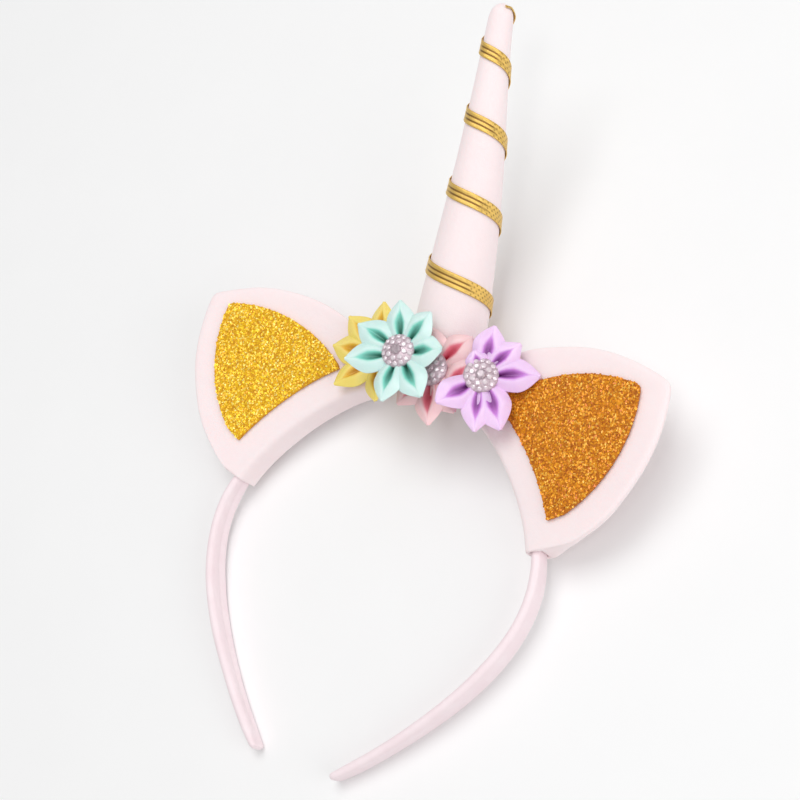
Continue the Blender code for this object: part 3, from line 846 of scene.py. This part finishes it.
def glitter_slab(side):
    """The panel's sheet in worn millimetres, its front faces marked."""
    bm = bmesh.new()
    front_layer = bm.faces.layers.float.new("front")
    edges = (GLITTER_TOP_EDGE, GLITTER_OUTER_EDGE)
    least = GLITTER_INNER + GLITTER_LEAST_WIDTH
    span = [s for s in range(int(EAR_START), int(EAR_ENDS["right"])) if reach(s, edges) > least]
    rings = []
    for i in range(GLITTER_SECTIONS + 1):
        s = span[0] + (span[-1] - span[0]) * i / GLITTER_SECTIONS
        top = reach(s, edges)
        outs = [GLITTER_INNER + (top - GLITTER_INNER) * k / GLITTER_ROWS for k in range(GLITTER_ROWS + 1)]
        ring = [(out, ear_front(out) - GAP) for out in outs]
        ring += [(out, ear_front(out) - GAP - GLITTER_THICKNESS) for out in reversed(outs)]
        rings.append([BAND_LINE.place(side * s, out, y) for out, y in ring])
    made = join_rings(bm, rings)
    first, last = GLITTER_ROWS + 1, 2 * GLITTER_ROWS + 1
    fronts = {corner for ring in made for corner in ring[first:last + 1]}
    for face in bm.faces:
        face[front_layer] = 1.0 if all(corner in fronts for corner in face.verts) else 0.0
    bm.faces.new(made[0])
    bm.faces.new(made[-1])
    return to_mesh("glitter_sheet", bm, smooth=False)


FLAKE = make_flake()
SCATTER = glitter_recipe()


def make_glitter(side_name, side, seed):
    slab = glitter_slab(side)
    node = "ear_glitter_" + side_name
    flakes = SCATTER.run(slab.copy(), {
        "Flake": FLAKE, "Density": FLAKES_PER_MM2, "Tilt": FLAKE_TILT, "Seed": seed,
        "Material": FLAKES[side_name],
    })
    wide, high = ([vertex.co[axis] * MM for vertex in slab.vertices] for axis in (0, 2))
    marks = slab.attributes["front"].data
    area = sum(face.area for face in slab.polygons if marks[face.index].value > 0.5) * MM ** 2
    flat = max(wide) - min(wide), max(high) - min(high)
    glued = finish_piece("glitter_flakes_" + side_name, flakes, [])
    piece = finish_piece("glitter_sheet_" + side_name, slab, [GLITTER_SHEETS[side_name]], [node])
    print("cut from (mm):", [round(side / MM, 1) for side in flat], "area (mm2):", round(area / MM ** 2))
    return piece


make_glitter("left", -1.0, 11)
make_glitter("right", 1.0, 23)

# %% [markdown]
# ## The stuffed horn
#
# The horn is a felt cone filled with wadding until it is tight. A table gives its radius on
# the way up. A short cloth simulation presses the skin outwards, held where the ribbon binds
# it, at the seat and at the tip, with a cap on how far it may go. At this size it moves the
# skin by less than 0.01 mm, as its last line prints, so the horn's form is the table's.

# %% Horn shape
HORN_BASE_X = 4.3
HORN_LENGTH = 126.4
HORN_LEAN = 19.5
HORN_BOW = 1.2
HORN_SEAT_BLEND = 16.0
HORN_SEAT_FLATNESS = 0.82
HORN_SEAT_GAP = 0.4
HORN_SEAT_SPAN = 40.0
HORN_TIP_RADIUS = 4.6
HORN_SMOOTHING = 5.0
# distance up the axis (mm), radius (mm)
HORN_TAPER = (
    (0.0, 13.8), (11.5, 13.4), (27.6, 12.2), (54.6, 10.1),
    (81.6, 7.6), (103.6, 5.6), (115.6, 4.8), (126.4, 4.1),
)
RIBBON_WIDTH = 4.8
RIBBON_START = 11.6
RIBBON_CLIMB = 29.6
RIBBON_SLOWING = 1.05
RIBBON_WAVE = 1.6


def horn_radius(height):
    """The radius up the horn, with the table's corners smoothed and a round tip."""
    steps = (-1.0, -0.5, 0.0, 0.5, 1.0)
    side = sum(table_value(HORN_TAPER, height + HORN_SMOOTHING * step) for step in steps) / len(steps)
    into_tip = (height - (HORN_LENGTH - HORN_TIP_RADIUS)) / HORN_TIP_RADIUS
    return side * sqrt(max(1.0 - max(into_tip, 0.0) ** 2, 0.0))


def horn_axis(height):
    """The horn's middle and its back direction at a height on its axis."""
    lean = radians(HORN_LEAN)
    bow = HORN_BOW * sin(pi * min(height / HORN_LENGTH, 1.0)) ** 2
    base = Vector((HORN_BASE_X, 0.0, BAND_THICKNESS / 2 + GAP))
    middle = base + height * Vector((0.0, -sin(lean), cos(lean))) + Vector((bow, 0.0, 0.0))
    turned = lean * smooth_step(0.0, HORN_SEAT_BLEND, height)
    return middle, Vector((0.0, cos(turned), sin(turned)))


def horn_point(height, angle, stand_off=0.0):
    """A point on the horn's skin, or the given distance off it."""
    middle, back = horn_axis(height)
    radius = horn_radius(height) + stand_off
    depth = HORN_SEAT_FLATNESS + (1.0 - HORN_SEAT_FLATNESS) * smooth_step(0.0, 2 * HORN_SEAT_BLEND, height)
    return middle + radius * (cos(angle) * Vector((1.0, 0.0, 0.0)) + depth * sin(angle) * back)


def on_saddle(point):
    """Drop a point of the horn's base to just above the band's top."""
    near = BAND_LINE.distance < HORN_SEAT_SPAN
    z = np.interp(abs(point.x), BAND_LINE.x[near], BAND_LINE.z[near])
    return Vector((point.x, point.y, float(z) + BAND_THICKNESS / 2 + HORN_SEAT_GAP))


def ribbon_height(turns):
    """Height of the ribbon's middle: each turn climbs less, and the back climbs more."""
    wave = RIBBON_WAVE * (1.0 - cos(2 * pi * turns))
    return RIBBON_START + RIBBON_CLIMB * turns - RIBBON_SLOWING * turns ** 2 + wave


def ribbon_angle(turns):
    return pi - 2 * pi * turns


print("horn radius at half height (mm):", round(horn_radius(HORN_LENGTH / 2), 2))

# %% Horn
HORN_SIDES = 40
HORN_STEP = 2.0
HORN_SLIMMER = 0.25
SWELL_CAP = 0.75
SWELL_FRAMES = 20
SWELL_PRESSURE = 4.0
BOUND_WIDTH = 0.75


def near_ribbon(height, angle):
    """1 under the ribbon, falling to 0 beside it."""
    closest = 99.0
    for turn in range(6):
        turns = ((pi - angle) / (2 * pi)) % 1.0 + turn
        closest = min(closest, abs(height - ribbon_height(turns)))
    return 1.0 - smooth_step(BOUND_WIDTH * RIBBON_WIDTH / 2, 1.4 * RIBBON_WIDTH, closest)


def horn_cage():
    """The horn's skin in worn millimetres, with how firmly each corner is held."""
    bm = bmesh.new()
    angles = [2 * pi * i / HORN_SIDES for i in range(HORN_SIDES)]
    rows, holds = [], []
    for share in (0.35, 0.7, 0.92):
        rows.append([on_saddle(horn_point(0.0, a, horn_radius(0.0) * (share - 1.0))) for a in angles])
        holds.append([1.0] * HORN_SIDES)
    count = int(HORN_LENGTH / HORN_STEP)
    heights = [HORN_STEP * i for i in range(count)] + [HORN_LENGTH - t for t in (1.6, 0.9, 0.35)]
    for height in sorted(heights):
        point = on_saddle if height == 0 else (lambda p: p)
        rows.append([point(horn_point(height, a, -HORN_SLIMMER if height else 0.0)) for a in angles])
        ends = max(1.0 - smooth_step(2.0, 8.0, height), smooth_step(HORN_LENGTH - 8, HORN_LENGTH - 3, height))
        holds.append([max(ends, near_ribbon(height, a)) for a in angles])
    made = join_rings(bm, rows)
    bm.faces.new(made[0])
    top = bm.verts.new(horn_axis(HORN_LENGTH)[0])
    for i in range(HORN_SIDES):
        bm.faces.new((made[-1][i - 1], made[-1][i], top))
    return to_mesh("horn_skin", bm), [h for row in holds for h in row] + [1.0]


def swell(mesh, holds):
    """Blow the skin up by a short cloth simulation and cap how far each corner goes."""
    mesh.transform(Matrix.Scale(MM, 4))
    rest = np.array([v.co for v in mesh.vertices])
    holder = bpy.data.objects.new("horn_holder", mesh)
    bpy.context.scene.collection.objects.link(holder)
    group = holder.vertex_groups.new(name="held")
    for index, hold in enumerate(holds):
        group.add([index], hold, "REPLACE")
    cloth = holder.modifiers.new("cloth", "CLOTH")
    cloth.settings.use_pressure = True
    cloth.settings.uniform_pressure_force = SWELL_PRESSURE
    cloth.settings.effector_weights.gravity = 0.0
    cloth.settings.vertex_group_mass = "held"
    cloth.settings.tension_stiffness = 8.0
    cloth.settings.compression_stiffness = 8.0
    cloth.collision_settings.use_collision = False
    cloth.point_cache.frame_end = SWELL_FRAMES
    for step in range(1, SWELL_FRAMES + 1):
        bpy.context.scene.frame_set(step)
    shown = holder.evaluated_get(bpy.context.evaluated_depsgraph_get())
    moved = np.array([v.co for v in shown.data.vertices]) - rest
    bpy.context.scene.frame_set(1)
    bpy.data.objects.remove(holder)
    far = np.linalg.norm(moved, axis=1)
    print(f"horn swells {1000 * far.max():.2f} mm at most, {1000 * far.mean():.2f} mm on average")
    capped = moved * np.minimum(1.0, SWELL_CAP * MM / np.maximum(far, 1e-9))[:, None]
    mesh = mesh.copy()
    mesh.vertices.foreach_set("co", ((rest + capped) / MM).astype(np.float32).ravel())
    return mesh


def make_horn():
    mesh, holds = horn_cage()
    mesh = swell(mesh, holds)
    mesh = with_modifiers(mesh, smoother())
    piece = finish_piece("horn_skin", mesh, [FELT], ["horn"])
    return piece


make_horn()

# %% [markdown]
# ## The gold ribbon
#
# The ribbon winds up the horn with its turns about as far apart as the horn is thick, and goes
# over the tip, where it is glued. It is a thin strip with a raised selvage on each side and two
# shallow grooves. Its section is carried along the winding, and lies on the horn's skin.

# %% Ribbon
RIBBON_TURNS = 4.62
RIBBON_STEPS = 72
RIBBON_LIFT = 0.14
RIBBON_THICKNESS = 0.26
RIBBON_BELOW_TIP = 1.0
# share of the half width, height of the face over the ribbon's middle (mm)
RIBBON_PROFILE = (
    (-1.0, -0.05), (-0.9, 0.07), (-0.72, 0.02), (-0.4, 0.0), (-0.33, -0.05), (-0.26, 0.0), (0.0, 0.03),
    (0.26, 0.0), (0.33, -0.05), (0.4, 0.0), (0.72, 0.02), (0.9, 0.07), (1.0, -0.05),
)


def make_ribbon():
    bm = bmesh.new()
    weave = bm.verts.layers.float_vector.new("weave")
    rings, notes, along, before = [], [], 0.0, None
    for i in range(round(RIBBON_TURNS * RIBBON_STEPS) + 1):
        turns = i / RIBBON_STEPS
        angle, middle = ribbon_angle(turns), ribbon_height(turns)
        ring, ring_notes = [], []
        centre = horn_point(min(middle, HORN_LENGTH - RIBBON_BELOW_TIP), angle)
        along += (centre - before).length if before else 0.0
        before = centre
        for rows, base in ((RIBBON_PROFILE, RIBBON_THICKNESS), (RIBBON_PROFILE[::-1], 0.0)):
            for share, relief in rows:
                highest = HORN_LENGTH - RIBBON_BELOW_TIP * (1.4 - 0.4 * share)
                height = min(middle + share * RIBBON_WIDTH / 2, highest)
                lift = RIBBON_LIFT + base + (relief if base else 0.0)
                ring.append(horn_point(height, angle, lift))
                ring_notes.append(Vector((along, share * RIBBON_WIDTH / 2, turns)))
        rings.append(ring)
        notes.append(ring_notes)
    made = join_rings(bm, rings)
    for ring, ring_notes in zip(made, notes):
        for corner, note in zip(ring, ring_notes):
            corner[weave] = note
    bm.faces.new(made[0])
    bm.faces.new(made[-1])
    print("ribbon length (mm):", round(along))
    mesh = to_mesh("gold_ribbon", bm)
    return finish_piece("gold_ribbon", mesh, [GOLD_RIBBON], ["horn_ribbon"])


make_ribbon()

# %% [markdown]
# ## Ribbon flowers
#
# A petal is a square of satin ribbon folded to a point. The fold pinches its root, so that
# plump rims stand round a deep pocket, and the pocket runs out flat towards the point. The
# petal is widest beyond its middle and ends in a corner of the square, which can lean to one
# side. One formula gives the height of the satin at each place: inside the pocket it drops
# away from the rims, and outside it slopes to the edge. The sheet is thickened and smoothed,
# with its cut edges kept sharp, and a disc of satin holds the petals from behind.
#
# Handmade petals differ, so each has its own way, length, rise, lean and width. One of the
# pink ones starts beside the middle, where the neighbouring flowers push it over.

# %% Flower tables
class Petal(NamedTuple):
    """Where a petal points and how large it is, in degrees and millimetres."""

    way: float
    length: float
    rise: float
    lean: float = 0.0
    width: float = 10.2
    root: tuple = (0.0, 0.0)


SATIN_WIDTH = 12.0
PETAL_INNER = 2.2
PETAL_SHEET = 0.4
PETAL_LAP = 0.13
PETAL_ROWS = 18
PETAL_COLUMNS = 22
PETAL_BASE = 0.9
PETAL_ROOT_WIDTH = 0.5
PETAL_WIDEST = 0.56
PETAL_BLUNTNESS = 1.75
PETAL_RIDGE = 1.2
PETAL_SWELL = 0.9
PETAL_FLATTEN = 1.3
PETAL_EDGE = 0.3
# way along the petal, half width of the pocket as a share of the petal's
POCKET_WIDTHS = ((0.0, 0.16), (0.15, 0.3), (0.35, 0.42), (0.5, 0.42), (0.68, 0.26), (0.8, 0.08), (1.0, 0.03))
# way along the petal, depth of the pocket (mm)
POCKET_DEPTHS = ((0.0, 2.3), (0.3, 2.2), (0.5, 1.6), (0.7, 0.5), (0.82, 0.1), (1.0, 0.0))
POCKET_DEEPEST = 2.3
BACKING_SIDES = 24
# distance from the middle, height (mm) of the disc behind the petals
BACKING_PROFILE = ((6.2, 0.75), (5.6, 0.5), (4.0, 0.45), (1.5, 0.45))
FLOWERS = {
    "yellow": {
        "centre": (-16.2, -8.0, 3.2), "turn": (6.0, 0.0),
        "petals": (
            Petal(98, 18.5, 16), Petal(139, 19.0, 14, 2.0, 10.6), Petal(181, 18.5, 12, 0.0, 11.0),
            Petal(236, 18.5, 12, -2.2, 10.8), Petal(292, 19.0, 12, 1.0, 8.8), Petal(326, 14.0, 14),
            Petal(30, 9.0, 12),
        ),
    },
    "pink": {
        "centre": (9.2, -13.0, 0.9), "turn": (0.0, -6.0),
        "petals": (
            Petal(52, 17.5, 8, -1.5, 11.0), Petal(64, 16.2, 8, -0.6, 10.6, (6.4, -8.6)),
            Petal(313, 18.0, 6, 1.0), Petal(282, 19.5, 10, 1.5, 10.6), Petal(240, 16.5, 12),
            Petal(170, 8.5, 12), Petal(105, 14.0, 12),
        ),
    },
    "mint": {
        "centre": (-1.0, -20.2, 2.3), "turn": (-4.0, 0.0),
        "petals": (
            Petal(156, 18.0, 12, 1.8, 10.4), Petal(103, 17.5, 12, 1.0), Petal(60, 17.0, 14, 0.6, 10.6),
            Petal(10, 16.4, 12, 0.8, 11.0), Petal(314, 20.0, 10, 1.0, 10.8), Petal(272, 18.5, 12, 0.8, 10.0),
            Petal(207, 18.8, 12, -1.6, 10.8),
        ),
    },
    "lilac": {
        "centre": (26.9, -14.0, 1.6), "turn": (-22.0, 0.0),
        "petals": (
            Petal(93, 17.0, 12, 0.0, 10.6), Petal(60, 16.5, 14, -1.2, 9.4), Petal(19, 19.4, 12, -1.2, 11.0),
            Petal(312, 19.8, 12, -1.6, 11.4), Petal(280, 19.4, 12, 0.8, 9.8),
            Petal(237, 17.4, 14, -1.8, 11.4), Petal(124, 9.0, 26, 0.0, 7.0),
        ),
    },
}


def flower_matrix(spec):
    """Local X to the right, Y up and Z out of the flower, placed at the flower's back."""
    left, up = (radians(angle) for angle in spec["turn"])
    outward = Vector((-sin(left) * cos(up), -cos(left) * cos(up), sin(up)))
    right = Vector((0.0, 0.0, 1.0)).cross(outward).normalized()
    turn = Matrix((right, outward.cross(right), outward)).transposed().to_4x4()
    return Matrix.Translation(Vector(spec["centre"])) @ turn


def petal_half_width(u):
    """The half width as a share of its most: it spreads from the root and closes to a corner."""
    if u < PETAL_WIDEST:
        return PETAL_ROOT_WIDTH + (1.0 - PETAL_ROOT_WIDTH) * sin(pi / 2 * u / PETAL_WIDEST)
    return 1.0 - ((u - PETAL_WIDEST) / (1.0 - PETAL_WIDEST)) ** PETAL_BLUNTNESS


def petal_height(u, v):
    """Height of the satin over the petal's base plane, and how deep in the pocket it is, which paints shade
    into the fold.
    """
    a = abs(v)
    pocket, depth = table_value(POCKET_WIDTHS, u), table_value(POCKET_DEPTHS, u)
    ridge = PETAL_RIDGE + PETAL_SWELL * smooth_step(0.0, 0.35, u)
    ridge -= PETAL_FLATTEN * smooth_step(0.5, 1.0, u)
    if a < pocket:
        height = ridge - depth * (1.0 - smooth_step(0.0, pocket, a))
    else:
        outward = (a - pocket) / (1.0 - pocket)
        height = ridge - (ridge - PETAL_EDGE) * outward ** 1.5
    inside = 1.0 - smooth_step(0.35 * pocket, 1.1 * pocket, a)
    return height, inside * (depth / POCKET_DEEPEST) ** 0.7


def petal_point(petal, u, v):
    """A place on the petal in the flower's plane and over it, and its place on the flat ribbon."""
    way, rise = radians(petal.way), radians(petal.rise)
    along = u * (petal.length - PETAL_INNER)
    across = petal.width / 2 * max(petal_half_width(u), 0.05) * v
    height, depth = petal_height(u, v)
    out = PETAL_INNER + along * cos(rise)
    aside = across + petal.lean * u ** 2
    point = Vector((
        petal.root[0] + out * cos(way) - aside * sin(way),
        petal.root[1] + out * sin(way) + aside * cos(way),
        PETAL_BASE + along * sin(rise) + height,
    ))
    return point, Vector((along, across, 0.0)), depth


def add_petal(bm, layers, petal, lap):
    weave, fold = layers
    rows = []
    for i in range(PETAL_ROWS + 1):
        u = 1.0 - (1.0 - i / PETAL_ROWS) ** 1.4
        across = [2.0 * j / PETAL_COLUMNS - 1.0 for j in range(PETAL_COLUMNS + 1)]
        rows.append([petal_point(petal, u, v) for v in across])
    over = Vector((0.0, 0.0, lap))
    made = join_rings(bm, [[point + over for point, _, _ in row] for row in rows], closed=False)
    for corners, row in zip(made, rows):
        for corner, (_, place, depth) in zip(corners, row):
            corner[weave] = place
            # The pocket's depth, kept to paint shade into the folds.
            corner[fold] = depth


def add_backing(bm):
    """A shallow cup of satin behind the petals' roots."""
    angles = [2 * pi * i / BACKING_SIDES for i in range(BACKING_SIDES)]
    rows = [[Vector((r * cos(a), r * sin(a), z)) for a in angles] for r, z in BACKING_PROFILE]
    made = join_rings(bm, rows)
    bm.faces.new(made[-1])


def make_petals(colour):
    spec = FLOWERS[colour]
    bm = bmesh.new()
    # The second layer holds the value that paints shade into the folds.
    layers = bm.verts.layers.float_vector.new("weave"), bm.verts.layers.float.new("fold")
    for i, petal in enumerate(spec["petals"]):
        add_petal(bm, layers, petal, PETAL_LAP * (i % 3))
    add_backing(bm)
    length = sum(face.calc_area() for face in bm.faces) / SATIN_WIDTH
    print("satin in the petals (mm):", SATIN_WIDTH, "x", round(length))
    mesh = bpy.data.meshes.new("petals_" + colour)
    bm.to_mesh(mesh)
    bm.free()
    sheet = "SOLIDIFY", {
        "thickness": PETAL_SHEET, "offset": -1.0, "use_even_offset": False, "edge_crease_rim": 1.0,
        "edge_crease_inner": 0.8, "edge_crease_outer": 0.8,
    }
    mesh = with_modifiers(mesh, sheet, smoother())
    for face in mesh.polygons:
        face.use_smooth = True
    piece = finish_piece(
        "petals_" + colour, mesh, [SATINS[colour]], ["flower_" + colour],
        WORN @ flower_matrix(spec),
    )
    return (piece, length * MM)[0]


for colour in FLOWERS:
    make_petals(colour)

# %% [markdown]
# ## Flower centres
#
# Each centre is a low domed setting with a large stone in its middle, two rings of smaller
# ones, and a bead of metal between them. A cut stone has a flat table, a crown of facets
# and a girdle. Geometry Nodes place a ring of copies on the dome, facing along its slope,
# and the same recipe runs once for each ring.

# %% Flower centres
CLUSTER_SEAT = 2.6
CLUSTER_RADIUS = 5.8
CLUSTER_RIM = 1.2
CLUSTER_CROWN = 1.5
SETTING_SIDES = 40
# number of stones, distance from the middle, stone radius (mm)
STONE_RINGS = ((1, 0.0, 1.9), (8, 2.95, 0.98), (14, 4.75, 0.86))
BEAD_RINGS = ((16, 3.9, 0.28), (8, 2.0, 0.3), (28, 5.55, 0.22))
DOME_TILT = 0.09


def make_stone_pattern():
    """A cut stone of radius 1: table, star and kite facets, girdle and a short pavilion."""
    bm = bmesh.new()
    shape = ((0.45, -0.5, 0.0), (0.97, -0.08, 0.0), (0.97, 0.04, 0.0), (0.82, 0.27, 0.5), (0.56, 0.46, 0.0))
    rings = []
    for radius, z, turn in shape:
        angles = [2 * pi * (i + turn) / 8 for i in range(8)]
        rings.append([bm.verts.new((radius * cos(a), radius * sin(a), z)) for a in angles])
    for lower, upper in zip(rings, rings[1:]):
        for i in range(8):
            j = (i + 1) % 8
            bm.faces.new((lower[i], lower[j], upper[i]))
            bm.faces.new((lower[j], upper[j], upper[i]))
    bm.faces.new(rings[0])
    bm.faces.new(rings[-1])
    return bpy.data.objects.new("stone_pattern", to_mesh("stone_pattern", bm, smooth=False))


def make_bead_pattern():
    bm = bmesh.new()
    bmesh.ops.create_icosphere(bm, subdivisions=1, radius=1.0)
    return bpy.data.objects.new("bead_pattern", to_mesh("bead_pattern", bm))


def ring_recipe():
    """Adds a ring of copies on a dome to the geometry that it gets."""
    recipe = Recipe("ring_on_dome", {
        "Pattern": "object", "Count": "int", "Ring Radius": "float", "Height": "float",
        "Tilt": "float", "Size": "float", "Material": "material",
    })
    given = recipe.given
    circle = recipe.add("GeometryNodeMeshCircle", {}, {
        "Vertices": given("Count"), "Radius": given("Ring Radius"),
    })
    lift = recipe.add("ShaderNodeCombineXYZ", {}, {"Z": given("Height")})
    points = recipe.add("GeometryNodeSetPosition", {}, {"Geometry": circle, "Offset": lift})
    where = recipe.add("GeometryNodeInputPosition", {}, {})
    lean = recipe.add("ShaderNodeVectorMath", {"operation": "MULTIPLY"}, {
        0: where, 1: recipe.add("ShaderNodeCombineXYZ", {}, {"X": given("Tilt"), "Y": given("Tilt")}),
    })
    normal = recipe.add("ShaderNodeVectorMath", {"operation": "ADD"}, {0: lean, 1: (0.0, 0.0, 1.0)})
    facing = recipe.add("FunctionNodeAlignRotationToVector", {"axis": "Z"}, {"Vector": normal})
    pattern = recipe.add("GeometryNodeObjectInfo", {}, {"Object": given("Pattern")}, "Geometry")
    placed = recipe.add("GeometryNodeInstanceOnPoints", {}, {
        "Points": points, "Instance": pattern, "Rotation": facing, "Scale": given("Size"),
    })
    real = recipe.add("GeometryNodeRealizeInstances", {}, {"Geometry": placed})
    named = recipe.add("GeometryNodeSetMaterial", {}, {"Geometry": real, "Material": given("Material")})
    recipe.result(recipe.add("GeometryNodeJoinGeometry", {}, {"Geometry": [named, given("Geometry")]}))
    return recipe


def dome_height(distance):
    return CLUSTER_SEAT + CLUSTER_RIM + CLUSTER_CROWN * (1.0 - (distance / CLUSTER_RADIUS) ** 2)


def setting_mesh():
    """A turned setting: a rounded rim and a dome."""
    bm = bmesh.new()
    angles = [2 * pi * i / SETTING_SIDES for i in range(SETTING_SIDES)]
    profile = [(CLUSTER_RADIUS - 1.2, CLUSTER_SEAT), (CLUSTER_RADIUS - 0.15, CLUSTER_SEAT + 0.15)]
    profile += [(CLUSTER_RADIUS, CLUSTER_SEAT + 0.6), (CLUSTER_RADIUS - 0.1, CLUSTER_SEAT + CLUSTER_RIM)]
    for share in (0.9, 0.7, 0.5, 0.3, 0.1):
        radius = CLUSTER_RADIUS * share
        profile.append((radius, dome_height(radius) - 0.1))
    made = join_rings(bm, [[Vector((r * cos(a), r * sin(a), z)) for a in angles] for r, z in profile])
    bm.faces.new(made[0])
    bm.faces.new(made[-1])
    mesh = to_mesh("setting", bm)
    mesh.materials.append(SETTING)
    return mesh


STONE_PATTERN = make_stone_pattern()
BEAD_PATTERN = make_bead_pattern()
RING = ring_recipe()


def make_centre(colour):
    rounds = []
    kinds = (STONE_RINGS, STONE_PATTERN, STONE), (BEAD_RINGS, BEAD_PATTERN, SETTING)
    for rings, pattern, material in kinds:
        for count, distance, size in rings:
            rounds.append({
                "Pattern": pattern, "Count": max(count, 3), "Ring Radius": distance, "Size": size,
                "Height": dome_height(distance) + 0.1, "Tilt": DOME_TILT, "Material": material,
            })
    mesh = RING.run(setting_mesh(), *rounds)
    return finish_piece(
        "centre_" + colour, mesh, [], ["stones_" + colour], WORN @ flower_matrix(FLOWERS[colour]),
    )


for colour in FLOWERS:
    make_centre(colour)

# %% [markdown]
# ## Stage and light
#
# The floor is a plain pale sheet. A large soft light stands nearly overhead, towards the horn's
# tip. A low one at the right brightens the sides that face the camera, a small one gives the
# satin and the glitter something to mirror, and the pale world keeps the shadows light.

# %% Stage
FLOOR_SIZE = 4.0
# name: place (m), size (m), power (W)
LIGHTS = {
    "key": ((-0.05, 0.3, 1.25), 0.8, 6.9),
    "side": ((1.0, -0.1, 0.5), 0.8, 2.9),
    "glint": ((0.3, -0.25, 0.9), 0.16, 0.7),
}


def make_floor():
    bm = bmesh.new()
    bmesh.ops.create_grid(bm, x_segments=1, y_segments=1, size=FLOOR_SIZE / 2)
    floor = bpy.data.objects.new("floor", to_mesh("floor", bm))
    paper = Finish("floor_paper", {"Roughness": 0.9})
    paper.paint("Base Color", paper.blend(paper.noise(30.0), (0.92, 0.92, 0.92), (0.94, 0.94, 0.94)))
    floor.data.materials.append(paper.material)
    bpy.context.scene.collection.objects.link(floor)


def make_light(name, place, size, power):
    light = bpy.data.lights.new(name, "AREA")
    light.size = size
    light.energy = power
    lamp = bpy.data.objects.new(name, light)
    lamp.location = place
    lamp.rotation_euler = (-Vector(place)).to_track_quat("-Z", "Y").to_euler()
    bpy.context.scene.collection.objects.link(lamp)


make_floor()
for name, (place, size, power) in LIGHTS.items():
    make_light(name, place, size, power)
world = bpy.data.worlds.new("studio")
world.use_nodes = True
world.node_tree.nodes["Background"].inputs["Color"].default_value = (1.0, 1.0, 1.0, 1.0)
world.node_tree.nodes["Background"].inputs["Strength"].default_value = 0.5
bpy.context.scene.world = world
bpy.context.scene.view_settings.view_transform = "Standard"
print("lights:", ", ".join(LIGHTS))
